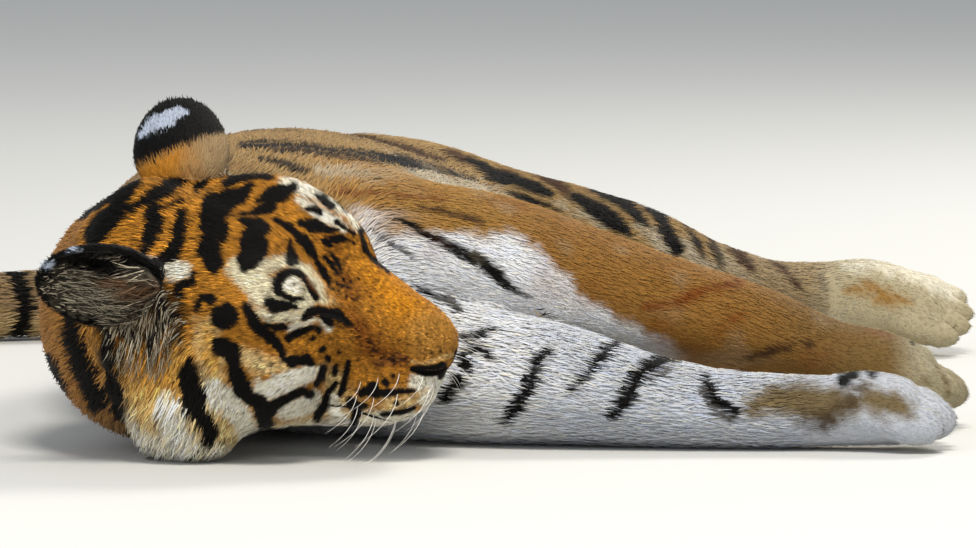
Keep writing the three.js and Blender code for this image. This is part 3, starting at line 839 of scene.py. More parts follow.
# Black hair and painted shade: the dark under the near ear, and the shadowed hollow between the neck and the
# ruff.
HEAD_DARK_AND_SHADE = [
    [(98, 318, 4), (108, 336, 9), (116, 358, 11), (120, 384, 8), (124, 410, 6)],
    [(124, 296, 8), (150, 304, 11), (170, 316, 8), (158, 332, 10), (146, 346, 10), (124, 334, 12)],
]
HEAD_CHEEK = [[(178, 338, 6), (182, 354, 8), (176, 376, 7)], [(206, 330, 8), (208, 352, 8), (214, 374, 6)]]
MUZZLE_SPECKLE = [
    [(340, 322, 4), (352, 330, 6), (362, 338, 6), (374, 348, 7)],
    [(374, 350, 5), (384, 362, 5), (398, 358, 5), (410, 358, 3)],
    [(340, 280, 3), (350, 288, 4), (356, 300, 3)],
    [(416, 354, 3), (430, 352, 4), (442, 352, 2)],
]
NOSE_RIM = [[(413, 362, 1.6), (424, 363.5, 1.8), (434, 361, 2), (444, 357, 2.4), (452, 355, 2)]]
HEAD_FLECKS = [
    [(332, 289, 0.8), (333, 291, 0.8)], [(338, 291, 0.8), (339, 294, 0.8)],
    [(341, 285, 0.8), (342, 288, 0.8)],
    [(346, 296, 1.1), (346, 299, 1.1)], [(350, 280, 0.8), (350, 283, 0.6)],
    [(358, 278, 0.7), (359, 281, 0.7)],
    [(347, 287, 0.7), (348, 289, 0.7)], [(343, 279, 0.7), (344, 282, 0.7)],
    [(336, 283, 0.8), (337, 285, 0.8)],
]
HEAD_FAINT = [
    [(75, 242, 3), (72, 250, 3)],
    [(379, 363, 3.5), (390, 361, 3.5), (400, 358, 3.5), (409, 359, 1.7)],
    [(181, 339, 2), (180, 355, 2)],
]
# The side of the muzzle and bridge, rust-dark: darker fur there, and painted shade where the side turns from
# the light.
MUZZLE_DARK_AND_SHADE = [
    [(342, 276, 5), (350, 286, 6), (354, 296, 5)],
    [(348, 310, 6), (356, 322, 9), (364, 336, 10), (374, 350, 11), (388, 358, 8), (404, 362, 5)],
    [(336, 250, 4), (330, 240, 6)],
]
# Painted highlight: the top of the bridge, lighter orange where the light falls on it.
BRIDGE_HIGHLIGHT = [
    [(366, 268, 8), (384, 286, 15), (402, 300, 17), (424, 314, 14)],
]
NOSE_TAN = [
    [(430, 330, 22), (440, 345, 18), (425, 350, 14)],
]
EYE_WHITE = [
    [(236, 270, 10), (250, 282, 12), (262, 290, 16), (275, 296, 18), (290, 292, 18), (303, 300, 14)],
    [(236, 262, 5), (252, 268, 8), (270, 266, 8), (285, 262, 6), (303, 270, 7), (313, 284, 7), (322, 300, 5)],
    [(262, 312, 6), (270, 318, 7), (285, 317, 7), (300, 316, 6)],
]
HEAD_WHITE = [
    [(286, 185, 7), (310, 190, 8), (334, 200, 8), (350, 212, 7), (356, 226, 5)],
    [(300, 202, 5), (322, 216, 6), (344, 228, 5)],
    [(150, 268, 9), (165, 270, 10), (182, 272, 9)],
    [(213, 392, 13), (228, 402, 14), (238, 415, 12), (246, 430, 12)],
    [(166, 404, 10), (174, 420, 12), (184, 440, 12), (190, 455, 12)],
    [(260, 388, 8), (276, 384, 9), (298, 376, 9), (312, 373, 8)],
    [(268, 394, 6), (285, 388, 6), (300, 381, 6)],
    [(285, 410, 10), (300, 406, 10), (312, 400, 9)],
    [(330, 398, 6), (334, 410, 8), (340, 420, 10)],
    [(416, 383, 7), (428, 383, 8), (438, 380, 5), (432, 394, 9), (428, 404, 8)],
    [(375, 420, 8), (395, 422, 9), (412, 418, 8)],
    [(288, 328, 2.8), (302, 324, 3.8), (312, 319.5, 3.2), (318, 320, 3), (323, 323, 3.2), (328, 328, 2.8)],
    [(118, 436, 8), (136, 446, 10), (156, 440, 10)],
]
HEAD_CREAM = [
    [(205, 330, 12), (212, 370, 14), (200, 420, 14), (240, 440, 16)],
    [(248, 356, 8), (262, 368, 9), (284, 366, 6)],
    [(400, 401, 7), (390, 405, 7), (410, 398, 6)],
    [(318, 292, 5), (326, 302, 4)],
    [(320, 372, 6), (335, 380, 8), (330, 395, 8)],
]
EYE_BROWN = [[(300, 273, 2), (306, 281, 3), (311, 290, 3), (316, 299, 2.5)]]
EYE_SPOT = [[(288, 286, 5), (292, 285, 7), (296, 288, 6)]]
EAR_LEFT_WHITE = [[(142, 136, 5), (156, 126, 7.7), (170, 118, 7), (181, 115, 5), (187, 115, 2)]]
EAR_RIGHT_WHITE = [[(68, 255, 3), (76, 253, 3)], [(40, 264, 4), (52, 266, 3)]]
EAR_RIGHT_BLACK = [[(34, 268, 3), (50, 259, 5), (70, 256, 7), (90, 258, 10), (106, 264, 11), (114, 276, 5)]]
EAR_RIGHT_BROWN = [[(106, 280, 6), (122, 286, 11), (140, 292, 11), (156, 290, 8)]]
# The edge between an ear's black back and the pale hair at its foot.
EAR_LEFT_EDGE = [(140, 172), (155, 166), (180, 153), (200, 142), (216, 135), (232, 131)]
# The neck's stripes; its last strokes are painted shade, in the dark hollow between the neck and the ruff.
NECK_BLACK_AND_SHADE = [
    [(68, 312, 4), (73, 337, 8), (79, 358, 9), (86, 374, 9), (98, 402, 9)],
    [(50, 355, 2.8), (54, 372, 5.6), (61, 386, 5.6), (66, 400, 4.2)],
    [(114, 386, 8.4), (120, 400, 7), (125, 414, 4.2)],
    [(110, 344, 5), (114, 380, 6), (118, 414, 5)],
]
FLANK_BROWN = [
    [(240, 131, 2.4), (271, 129, 2.4), (298, 131, 1.6)],
    [(342, 135, 2.4), (373, 141, 3), (404, 149, 4), (430, 157, 3), (444, 161, 1.6)],
    [(444, 152, 2), (456, 157, 4), (470, 163, 4)],
    [(530, 172, 3), (548, 180, 5), (566, 191, 6)],
    [(500, 172, 3), (520, 180, 4), (534, 187, 3)],
    [(580, 183, 3), (593, 190, 4)],
    [(632, 199, 2.5), (646, 208, 4)],
    [(676, 215, 2.5), (688, 228, 4)],
    [(700, 226, 2), (708, 236, 3)],
]
FLANK_PALE = [
    [(320, 170, 4), (380, 176, 7), (430, 180, 7), (480, 190, 6), (510, 200, 5)],
    [(636, 226, 4), (655, 236, 7), (668, 252, 8)],
    [(684, 240, 5), (694, 258, 7), (708, 268, 7)],
    [(560, 206, 3), (590, 218, 4), (606, 228, 4)],
    [(716, 252, 4), (730, 268, 8), (750, 284, 8)],
]
FLANK_FAINT = [[(332, 192, 2), (363, 193, 2), (404, 196, 2), (444, 201, 2)]]
CHEST_BROWN = [[(420, 207, 1.5), (436, 211, 2.5), (453, 215, 3), (466, 219, 3), (484, 224, 2)]]
FLANK_BLACK = [
    [(242, 147, 3), (261, 146, 4.5), (285, 148, 5.7), (312, 151, 5.7), (342, 155, 5.7), (373, 159, 5.7)],
    [(373, 159, 5.7), (404, 163, 5.7), (434, 170, 5), (451, 175, 3.7), (475, 182, 2)],
    [(259, 159, 2), (281, 164, 4), (295, 169, 4), (308, 171, 2)],
    [(469, 161, 3), (483, 169, 6), (495, 178, 7), (516, 182, 6), (540, 190, 6), (552, 195, 4)],
    [(510, 194, 3), (526, 200, 4), (543, 205, 3), (561, 212, 1.7)],
    [(572, 196, 4), (587, 205, 7), (604, 215, 10), (619, 227, 8.7), (630, 233, 4.4)],
    [(593, 191, 3), (610, 196, 6.4), (628, 207, 6.4), (642, 220, 5.8), (649, 228, 2.3)],
    [(648, 208, 3), (662, 220, 6.4), (668, 234, 8), (677, 249, 7.3)],
    [(691, 234, 3), (699, 246, 4.4), (703, 258, 3)],
    [(709, 234, 3.5), (713, 246, 4.4), (721, 263, 4.4)],
]
HIP_BROWN = [
    [(729, 246, 3), (741, 257, 5), (751, 269, 4.5)],
    [(770, 262, 2), (786, 272, 3), (800, 288, 2.5)],
    [(822, 275, 3), (825, 287, 3.5)],
]
HIND_FOOT_BROWN = [[(850, 290, 3), (870, 288, 6), (885, 296, 8), (904, 300, 5)]]
CHEST_BLACK = [
    [(397, 219, 1.1), (412, 225, 2.7), (426, 234, 3.9), (444, 244, 4.5), (462, 252, 5.7), (478, 260, 6.8)],
    [(478, 260, 6.8), (492, 269, 6.3), (503, 279, 5.4), (512, 288, 3.9), (528, 297, 1.4)],
    [(456, 313, 2), (457, 314, 2)],
    [(413, 286, 2), (422, 291, 3), (434, 298, 2.5)],
    [(466, 340, 1.5), (480, 337, 2.5), (494, 331, 1.5)],
]
CHEST_GREY = [
    [(371, 229, 1.8), (383, 238, 1.8), (397, 247, 1.8), (417, 258, 1.4)],
    [(414, 287, 2.7), (426, 294, 3.6), (439, 300, 2.7), (456, 304, 3.6)],
    [(440, 297, 2.5), (452, 303, 4), (462, 313, 3)],
    [(459, 336, 1.4), (479, 335, 2.1), (495, 329, 1.4)],
    [(568, 397, 1.4), (574, 386, 1.4)],
    [(706, 391, 4.3), (711, 400, 4.3), (721, 415, 5.4), (732, 419, 4.3)],
    [(670, 372, 3.6), (652, 381, 2.7)],
]
ARM_BLACK = [
    [(461, 358, 2.1), (470, 351, 3.2), (481, 349, 2.7), (491, 356, 1.8)],
    [(466, 365, 6), (467, 366, 6)],
    [(459, 381, 6), (445, 397, 4.5)],
    [(549, 352, 2.7), (538, 361, 4.5), (534, 377, 5), (527, 392, 5.4), (518, 406, 5), (507, 419, 3.6)],
    [(624, 342, 1.5), (611, 349, 3.6), (599, 360, 4.5), (591, 372, 2.1), (574, 390, 1.1)],
    [(682, 361, 1.8), (665, 361, 4), (650, 367, 5.7), (638, 377, 6.8), (632, 392, 6.8), (622, 404, 5.7),
     (613, 415, 4.5)],
    [(863, 348, 5), (857, 358, 10), (851, 370, 9), (844, 381, 5)],
    [(868, 366, 4), (874, 374, 3)],
    [(706, 378, 2.5), (711, 388, 3), (720, 402, 4), (738, 412, 4)],
]
ARM_TAN = [
    [(748, 410, 8), (772, 400, 14), (800, 400, 18), (830, 406, 18), (850, 404, 14)],
    [(850, 404, 10), (868, 398, 12), (890, 404, 14), (905, 410, 10)],
]
# Under the near wrist: dark brown fur, and painted shade on the underside towards the floor.
ARM_DARK_AND_SHADE = [[(806, 422, 5), (828, 418, 8), (848, 404, 8), (858, 390, 5)]]
# Painted shade in the folds of the far foreleg's coat.
FOLD_SHADE_BROWN = [
    [(644, 309, 1), (664, 306, 3), (682, 300, 4), (700, 292, 4), (716, 288, 4), (738, 284, 2)],
    [(716, 334, 1), (728, 324, 2.5), (746, 313, 2)],
]
FOLD_SHADE_DARK = [[(749, 359, 2), (766, 352, 3.5), (784, 348, 3.5), (813, 343, 1.5)]]
TOE_DARK = [[(912, 343, 2.5), (913, 343, 2.5)]]
# Painted shade in the grooves between the far forepaw's toes.
TOE_GROOVE_SHADE = [
    [(932, 362, 0.6), (944, 378, 1.3), (950, 396, 1)],
    [(918, 368, 0.5), (930, 386, 1.2), (936, 404, 1)],
]
HIND_FOOT_WHITE = [[(846, 266, 3), (880, 266, 6), (920, 274, 9), (950, 290, 9)]]
# The edge between the orange shoulder and the white chest and inner leg, and the chest's upper edge.
WHITE_EDGE = [
    (508, 236), (539, 251), (556, 265), (571, 279), (578, 297),
    (610, 308), (615, 324), (628, 327), (760, 372),
]
CHEST_TOP = [(350, 205), (400, 208), (450, 219), (508, 238), (560, 262)]

# Red, green and blue as the screen has them. The chest's white and the near lower arm's grey-white are cool,
# the white of fur in shade: painted shade.
PALETTE = {
    "black": (15, 13, 11), "brown": (74, 52, 34), "faint": (128, 80, 38), "grey": (96, 94, 92),
    "rust": (122, 66, 22), "bright": (212, 138, 34), "nose_tan": (186, 132, 60), "nose_rim": (206, 164, 104),
    # the bridge's orange on this line is a painted highlight
    "forehead": (174, 116, 40), "cheek": (214, 160, 78), "white": (240, 232, 208), "cream": (222, 190, 132),
    "eye_white": (214, 202, 168), "neck": (170, 118, 58), "flank": (160, 130, 84), "dorsal": (130, 100, 66),
    "pale": (178, 164, 138), "shoulder": (164, 122, 62), "chest": (238, 240, 244), "arm": (150, 107, 52),
    "arm_white_in_shade": (196, 200, 208), "arm_low": (122, 96, 56), "tan": (116, 100, 70), "tan_dark": (76, 62, 44),
    "paw_top": (166, 157, 128), "foot": (192, 176, 136), "hind_leg": (156, 136, 104),
    "hind_foot": (196, 184, 150), "tail": (140, 116, 84), "ear": (16, 14, 13), "ear_hair": (120, 112, 96),
    "ear_base": (150, 126, 92), "ear_white": (176, 186, 204),
}
INK = {name: (array(*shade) / 255) ** 2.2 for name, shade in PALETTE.items()}

# Marks in the order that they are laid: strokes, ink, and then, where it isn't EDGE's, how soft
# the edge is, how much it wanders, and how many pixels are added all round.
EDGE = (1.5, 1.0, 0.0)
# Stripes of the neck and head, and painted shade: under the near ear and in the hollow between neck and ruff.
NECK_STRIPES_AND_SHADE = [(NECK_BLACK_AND_SHADE, "black", 2, 1, 1.5)]
HEAD_STRIPES_AND_SHADE = [(HEAD_BLACK, "black", 1.2, 0.8, 1.1), (HEAD_DARK_AND_SHADE, "black", 6, 4)]
HEAD_PALE = [
    (HEAD_CREAM, "cream", 9, 3),
    (HEAD_CHEEK, "cheek", 6, 3),
    (EYE_WHITE, "eye_white", 4, 1.6),
    (HEAD_WHITE, "white", 4, 1.6),
    # the bridge's painted highlight
    (BRIDGE_HIGHLIGHT, "bright", 14),
]
HEAD_OVER = [(NOSE_TAN, "nose_tan", 12), (HEAD_FAINT, "faint", 2.5), (EYE_BROWN, "rust", 2)]
HEAD_OVER += HEAD_STRIPES_AND_SHADE + NECK_STRIPES_AND_SHADE + [(EYE_SPOT, "white", 1.5, 0.5)]
NOSE_MARKS = [
    (NOSE_RIM, "nose_rim", 1.5, 0.5),
    (HEAD_FLECKS, "black", 0.8, 0.2, 0.3),
    (NOSE_BLACK, "black", 1.0, 0.2, 0.8),
]
CHEST_MARKS = [(CHEST_GREY, "grey", 2), (CHEST_BROWN, "brown", 3), (CHEST_BLACK, "black", 1.8, 1, 0.8)]
FORELEG_MARKS = {
    "foreleg_left": [
        # painted shade in the folds of the coat
        (FOLD_SHADE_BROWN, "rust", 5, 2),
        (FOLD_SHADE_DARK, "brown", 3, 2),
        (TOE_DARK, "black", 1),
        # painted shade between the toes
        (TOE_GROOVE_SHADE, "tan", 1.5, 0.5),
    ],
    "foreleg_right": [
        (ARM_TAN, "tan", 10, 3),
        # dark fur and painted shade under the wrist
        (ARM_DARK_AND_SHADE, "tan_dark", 10, 4),
        (ARM_BLACK, "black", 1.8, 0.9, 1.8),
    ],
}
HIND_FOOT_MARKS = [(HIND_FOOT_WHITE, "white", 7, 3), (HIND_FOOT_BROWN, "shoulder", 7, 3)]
EAR_WHITE = {"left": EAR_LEFT_WHITE, "right": EAR_RIGHT_WHITE}


class Noise:
    """Smooth random values in space: a table of draws, with the cells blended."""

    def __init__(self, size=32):
        self.size = size
        self.table = draws.random((size, size, size))

    def __call__(self, p, scale):
        q = p / scale
        low = np.floor(q).astype(int)
        t = q - low
        t = t * t * (3 - 2 * t)
        total = np.zeros(len(p))
        for corner in np.ndindex(2, 2, 2):
            at = (low + corner) % self.size
            share = np.where(corner, t, 1 - t).prod(1)
            total += share * self.table[at[:, 0], at[:, 1], at[:, 2]]
        return total * 2 - 1


noise = Noise()


def stroke_reach(x, y, strokes, soft):
    """How far inside the strokes points lie, in pixels: positive inside."""
    best = np.full(len(x), -BIG)
    for stroke in strokes:
        rows = np.array(stroke, dtype=float)
        edge = rows[:, 2].max() + soft + 3
        close = (
            (x > rows[:, 0].min() - edge)
            & (x < rows[:, 0].max() + edge)
            & (y > rows[:, 1].min() - edge)
            & (y < rows[:, 1].max() + edge)
        )
        if not close.any():
            continue
        px, py = x[close], y[close]
        for (ax, ay, ar), (bx, by, br) in zip(rows, rows[1:]):
            ux, uy = bx - ax, by - ay
            t = np.clip(((px - ax) * ux + (py - ay) * uy) / max(ux * ux + uy * uy, 1e-6), 0, 1)
            inside = mix(ar, br, t) - np.hypot(px - ax - t * ux, py - ay - t * uy)
            best[close] = np.maximum(best[close], inside)
    return best


def layer(base, ink, amount):
    return mix(base, INK[ink] if isinstance(ink, str) else ink, amount[:, None])


LEAST = 0.01  # shares below this are passed over


class View:
    """Points by their place in the photograph, where they are asked for, and how uneven edges are there."""

    def __init__(self, x, y, p, on):
        self.on = on
        self.x, self.y = x[on], y[on]
        p = p[on]
        self.uneven = 1.6 * noise(p, 9) + 1.1 * noise(p + 50, 4) + 1.0 * noise(p + 20, 1.9)

    def reach(self, strokes, margin, wobble=2):
        """How far inside the strokes points lie, in pixels, and -BIG where they aren't asked for."""
        out = np.full(len(self.on), -BIG)
        out[self.on] = stroke_reach(self.x, self.y, strokes, margin) + self.uneven * wobble
        return out

    def draw(self, rgb, marks):
        """The colours with marks laid over them."""
        for strokes, ink, *edge in marks:
            soft, wobble, bold = (*edge, *EDGE[len(edge):])
            rgb = layer(rgb, ink, smooth(-soft, soft, self.reach(strokes, soft + 4, wobble) + bold))
        return rgb


def shares(p):
    """How much of each part a point of the skin belongs to."""
    d = distances(p)
    raw = np.stack([np.exp(-np.clip(d[name], -8, 400) / 9.0) for name in NAMES], 1)
    return raw / raw.sum(1, keepdims=True)


def edge_row(edge, x):
    """The pixel row of an edge line at pixel columns."""
    ex, ey = np.array(edge, dtype=float).T
    return np.interp(x, ex, ey)


MIRROR = array(1, -1, 1)
HAIR_GRAIN = array(0.5, 1, 1)  # draws the face's grain out along it
EAR_FRONT = {"at": array(-133, 90, -22), "reach": 50, "full": 14, "long": 34}


def before_ears(q):
    """How near points are to the long hair before each ear."""
    far = np.linalg.norm(both_sides(q) - EAR_FRONT["at"], axis=1)
    return smooth(EAR_FRONT["reach"], EAR_FRONT["full"], far)


def head_ground(p, q):
    """Orange above, white on the chin, throat and cheeks' edge."""
    ahead, _, up = q.T
    rgb = np.tile(INK["forehead"], (len(p), 1))
    rgb = layer(rgb, "cheek", smooth(-40, -90, up + 10 * noise(p, 26)) * smooth(-20, -60, ahead))
    rgb = layer(rgb, "cream", 0.8 * smooth(-70, -120, up + 12 * noise(p, 30)))
    rgb = layer(rgb, "white", smooth(-104, -128, up + 8 * noise(p, 22)) * smooth(130, 60, ahead))
    return layer(rgb, "white", smooth(-92, -100, up) * smooth(50, 70, ahead))


def paint_head(p, n):
    """The side that the camera sees, and its mirror image on the other."""
    q = in_head(p)
    ahead, across, up = q.T
    mirrored_n = ((n @ HEAD_AXES.T) * MIRROR) @ HEAD_AXES
    straight = smooth(-0.15, 0.0, -(n @ AHEAD))
    other = smooth(0.0, 0.12, -(mirrored_n @ AHEAD)) * (1 - straight)
    unseen = 1 - np.maximum(straight, other)
    sides = [
        (where, View(*to_photo(source), p, where > LEAST))
        for where, source in ((straight, p), (other, out_of_head(q * MIRROR)))
    ]
    specks = smooth(-0.2, 0.4, noise(q * HAIR_GRAIN + 7, 1.7))
    rgb = head_ground(p, q)
    for where, view in sides:
        own = view.draw(rgb, HEAD_PALE)
        # rust-dark fur and painted shade down the muzzle's side
        own = layer(own, "rust", 0.75 * smooth(-10, 10, view.reach(MUZZLE_DARK_AND_SHADE, 10)))
        own = view.draw(own, HEAD_OVER)
        own = layer(own, "black", 0.9 * smooth(-7, 7, view.reach(MUZZLE_SPECKLE, 10)) * specks)
        own = view.draw(own, NOSE_MARKS)
        rgb = mix(rgb, own, where[:, None])
    # short dark flecks over the orange of the muzzle
    fleck = smooth(-0.15, 0.5, noise(q * HAIR_GRAIN, 1.5) + 0.4 * noise(p + 90, 5)) * smooth(-80, 0, ahead)
    rgb = rgb * (1.1 - 0.42 * fleck * smooth(0.35, 0.2, rgb[:, 2]))[:, None]
    # painted shadow under the ears: the hair before them darkened toward its roots
    rgb = layer(rgb, "ear", 0.85 * smooth(0.15, 0.6, before_ears(q) + 0.25 * noise(p, 8)))
    for where, view in sides:
        black = where * smooth(-2, 2, view.reach(EAR_RIGHT_BLACK, 3))
        rgb = layer(rgb, "ear", black * smooth(-90, -120, ahead))
    # a few bars where neither side shows: round the back of the jaw and throat
    bars = np.sin((ahead * 0.8 + np.abs(across) * 0.6 + 14 * noise(p, 45)) / 13)
    bars = unseen * smooth(0.55, 0.75, bars)
    return layer(rgb, "black", bars * smooth(-110, -70, up) * smooth(0, -50, ahead))


# Bands of the species: how far apart, their half width as a share of that, and a seed.
BANDS = {"torso": (62, 0.16, 3.0), "neck": (62, 0.16, 9.0), "leg": (58, 0.11, 17.0)}


def body_bands(kind, far, turn, p):
    """Bands round a trunk or limb, wavering and forking."""
    step, width, seed = BANDS[kind]
    wander = noise(p + seed, 90) * 0.55 + noise(p - seed, 38) * 0.28
    phase = far / step + wander + 0.12 * np.sin(3 * turn + far / 60)
    ring = np.abs((phase % 1.0) - 0.5)
    fork = 0.06 * noise(p + 2 * seed, 24)
    return smooth(-0.015, 0.02, width + fork - ring)


def limb_place(name, p):
    """How far points are along a trunk or limb, the way along it, and their turn round it."""
    local, size, far, along = PARTS[name].place(p)
    return far, along, np.arctan2(local[:, 1] / size[:, 1], local[:, 0] / size[:, 0])


def paint_trunk(name, p, n):
    """The species' ground colours and bands. Her back is at x < 0."""
    far, _, turn = limb_place(name, p)
    back = -n[:, 0] + 0.15 * noise(p, 60)
    rgb = np.tile(INK["flank"], (len(p), 1))
    rgb = layer(rgb, "dorsal", 0.6 * smooth(0.3, 0.9, back))
    rgb = layer(rgb, "white", smooth(0.45, 0.8, -back))
    return rgb, body_bands(name, far, turn, p) * smooth(-0.95, -0.45, back)


def paint_limb(name, p, n):
    """The same for a leg, white on its inner side."""
    far, _, turn = limb_place(name, p)
    whole = PARTS[name].far[-1]
    outer = n[:, 2] if "left" in name else -n[:, 2]
    rgb = np.tile(INK["arm"] if "fore" in name else INK["flank"], (len(p), 1))
    rgb = layer(rgb, "white", smooth(0.1, -0.5, outer + 0.2 * noise(p, 40)))
    rgb = layer(rgb, "foot", smooth(whole - 130, whole - 30, far))
    ink = body_bands("leg", far, turn, p) * smooth(whole - 60, whole - 140, far)
    if name == "foreleg_left":
        ink = ink * smooth(0.0, -0.4, outer)
    return rgb, ink


TAIL_RING = {"step": 74, "half": 0.36}


def paint_tail(p, n):
    far, _, _ = limb_place("tail", p)
    whole = PARTS["tail"].far[-1]
    rgb = np.tile(INK["tail"], (len(p), 1))
    rgb = layer(rgb, "cream", 0.6 * smooth(0.1, -0.6, n[:, 2]))
    phase = far / TAIL_RING["step"] + 0.1 * noise(p, 40)
    ring = np.abs((phase % 1.0) - 0.5)
    ink = smooth(0.20, 0.25, TAIL_RING["half"] - ring + 0.05 * noise(p, 20))
    return layer(rgb, "black", np.maximum(ink, smooth(whole - 60, whole - 30, far)))


IN_FRONT = (-170.0, -210.0)  # along y: nothing hides her before this
LIFTS = (3.0, 8.0, 14.0)  # how far over the skin the view is tried


def in_view(p, n, asked):
    """How freely the camera sees points just over the skin, where this is asked."""
    free = np.ones(len(p))
    rows = np.flatnonzero(asked & (p[:, 1] > IN_FRONT[1]))
    ways = unit(CAMERA["at"] - p[rows]).tolist()
    clear = np.zeros(len(rows))
    for rise in LIFTS:
        starts = (p[rows] + rise * n[rows]).tolist()
        clear += [SKIN_TREE.ray_cast(start, way)[0] is None for start, way in zip(starts, ways)]
    free[rows] = np.maximum(clear / len(LIFTS), smooth(*IN_FRONT, p[rows, 1]))
    return free


def paint(p, n):
    """The coat's colour at points of the skin, linear."""
    share = shares(p)
    x, y = to_photo(p)
    facing = -(n @ AHEAD)
    edge_on = mix(smooth(0.0, 0.085, facing), 1.0, smooth(*IN_FRONT, p[:, 1]))
    seen = smooth(-0.12, 0.02, facing) * mix(edge_on, 1.0, share[:, NAMES.index("hindleg_left")])
    seen = seen * in_view(p, n, seen > LEAST)
    rgb = np.zeros((len(p), 3))
    for i, name in enumerate(NAMES):
        on = share[:, i] > LEAST
        if not on.any():
            continue
        po, no = p[on], n[on]
        if name == "head":
            own = paint_head(po, no)
        elif name == "tail":
            own = paint_tail(po, no)
        else:
            own, ink = (paint_limb if name in LEGS else paint_trunk)(name, po, no)
            own = paint_seen(name, own, ink, po, x[on], y[on], seen[on])
        rgb[on] += own * share[on, i : i + 1]
    return rgb


FLANK_PARTS = ("torso", "neck", "hindleg_left")
CHEST_PARTS = ("torso", "neck", "foreleg_left", "foreleg_right")
CHEST_BACK = -110.0  # along y: the chest's marks lie before this
GAPS = {"step": 46, "waver": 16, "share": 0.5}


def seen_ground(name, rgb, p, x, y):
    """The ground colours that the camera sees on the shoulder, the chest and the forelegs."""
    whole = np.ones(len(p))
    over = edge_row(WHITE_EDGE, x) - y + 5 * noise(p, 30)
    if name == "foreleg_left":
        rgb = layer(rgb, "arm", whole)
        rgb = layer(rgb, "shoulder", smooth(560, 460, x))
        rgb = layer(rgb, "chest", smooth(9, -9, over + 5 * noise(p, 7)) * smooth(700, 640, x))
        rgb = layer(rgb, "arm_low", smooth(720, 860, x + 8 * noise(p, 30)))
        rgb = layer(rgb, "paw_top", 0.9 * smooth(885, 925, x))
    elif name == "foreleg_right":
        # The near foreleg's white is painted cool, and greyer down the lower arm: painted shade.
        rgb = layer(rgb, "chest", whole)
        rgb = layer(rgb, "arm_white_in_shade", smooth(470, 600, x + 10 * noise(p, 40)))
        rgb = layer(rgb, "shoulder", smooth(-4, 8, over) * smooth(660, 600, x))
    elif name in CHEST_PARTS:
        above = smooth(-6, 6, edge_row(CHEST_TOP, x) - y + 4 * noise(p, 25))
        # the chest's white, painted cool as in shade
        rgb = layer(rgb, "chest", (1 - above) * smooth(340, 372, x))
        rgb = layer(rgb, "shoulder", above * smooth(300, 350, x) * smooth(-200, -260, p[:, 1] - 0.2 * x))
    return rgb


def shoulder_gaps(p):
    """Gaps across the shoulder's stripe: it is seen edge-on, and from above would be one patch."""
    across = np.abs(((p[:, 1] + GAPS["waver"] * noise(p, 60)) / GAPS["step"]) % 1.0 - 0.5)
    return GAPS["share"] * smooth(0.34, 0.44, across) * smooth(-50, -90, p[:, 1])


def paint_seen(name, rgb, ink, p, x, y, seen):
    """What the camera sees of the body, over what the species has elsewhere."""
    on = seen > LEAST
    view = View(x, y, p, on)
    own = seen_ground(name, rgb, p, x, y)
    if name in FLANK_PARTS:
        own = layer(own, "dorsal", 0.5 * smooth(0, 1, noise(p, 22)))
        own = view.draw(own, [(FLANK_PALE, "pale", 6, 3)])
    own = view.draw(own, [(FLANK_BROWN, "brown", 3), (FLANK_FAINT, "faint", 2)])
    if name == "neck":
        own = layer(own, "neck", smooth(200, 120, x) * smooth(460, 400, y))
        # stripes, and painted shade between neck and ruff and under the near ear
        own = view.draw(own, NECK_STRIPES_AND_SHADE + HEAD_STRIPES_AND_SHADE)
    if name in FLANK_PARTS:
        marked = view.draw(own, [(FLANK_BLACK, "black", 2)])
        own = mix(marked, own, shoulder_gaps(p)[:, None])
        own = view.draw(own, [(HIP_BROWN, "brown", 2)])
    if name in CHEST_PARTS:
        own = View(x, y, p, on & (p[:, 1] < CHEST_BACK)).draw(own, CHEST_MARKS)
    if name == "foreleg_left":
        own = layer(own, "rust", 0.3 * smooth(0.1, 0.8, noise(p, 34)))
        own = layer(own, "pale", 0.25 * smooth(0.2, 0.9, noise(p + 40, 26)))
    own = view.draw(own, FORELEG_MARKS.get(name, []))
    if "hind" in name:
        own = layer(own, "hind_leg", 0.8 * smooth(690, 770, x))
        own = view.draw(own, [(HIP_BROWN, "brown", 3)])
        own = layer(own, "hind_foot", 0.9 * smooth(805, 840, x + 6 * noise(p, 20)))
        own = view.draw(own, HIND_FOOT_MARKS)
    return mix(layer(rgb, "black", ink), own, seen[:, None])


def ear_place(side, p, n):
    """Shares of an ear's length and half width, and whether points are on its outer side."""
    root, axis, back, across = ear_axes(side)
    rel = in_head(p) - root
    far = rel @ axis / (EAR["long"] + EAR["sunk"])
    radial = (rel @ back)[:, None] * back + (rel @ across)[:, None] * across
    outer = (((n @ HEAD_AXES.T) * unit(radial)).sum(1) > 0) & (rel @ back > -0.15 * EAR["deep"])
    return far, rel @ across / EAR["half_wide"], outer


def paint_ear(side, p, n):
    """An ear's black back with its white spot, and the skin of its cup."""
    _, _, outer = ear_place(side, p, n)
    x, y = to_photo(p)
    white = View(x, y, p, outer).reach(EAR_WHITE[side], 3)
    rgb = np.tile(INK["ear"], (len(p), 1)) * 0.6
    rgb = layer(rgb, "ear_white", smooth(-1.5, 1.5, white) * outer)
    cup = mix(INK["ear"] * 1.5, INK["ear_hair"], 0.6 * smooth(-0.2, 0.5, noise(p, 5))[:, None])
    if side == "left":
        foot = smooth(-3, 5, y - edge_row(EAR_LEFT_EDGE, x) + 3 * noise(p, 8)) * outer
        rgb = layer(rgb, "ear_base", foot)
        rgb = layer(rgb, "forehead", foot * smooth(212, 166, x + 9 * noise(p, 9)))
    else:
        view = View(x, y, p, np.ones(len(p), dtype=bool))
        cup = layer(cup, "rust", 0.5 * smooth(-3, 6, view.reach(EAR_RIGHT_BROWN, 6)))
        cup = layer(cup, "ear", smooth(-2, 2, view.reach(EAR_RIGHT_BLACK, 3)))
    return np.where(outer[:, None], rgb, cup)


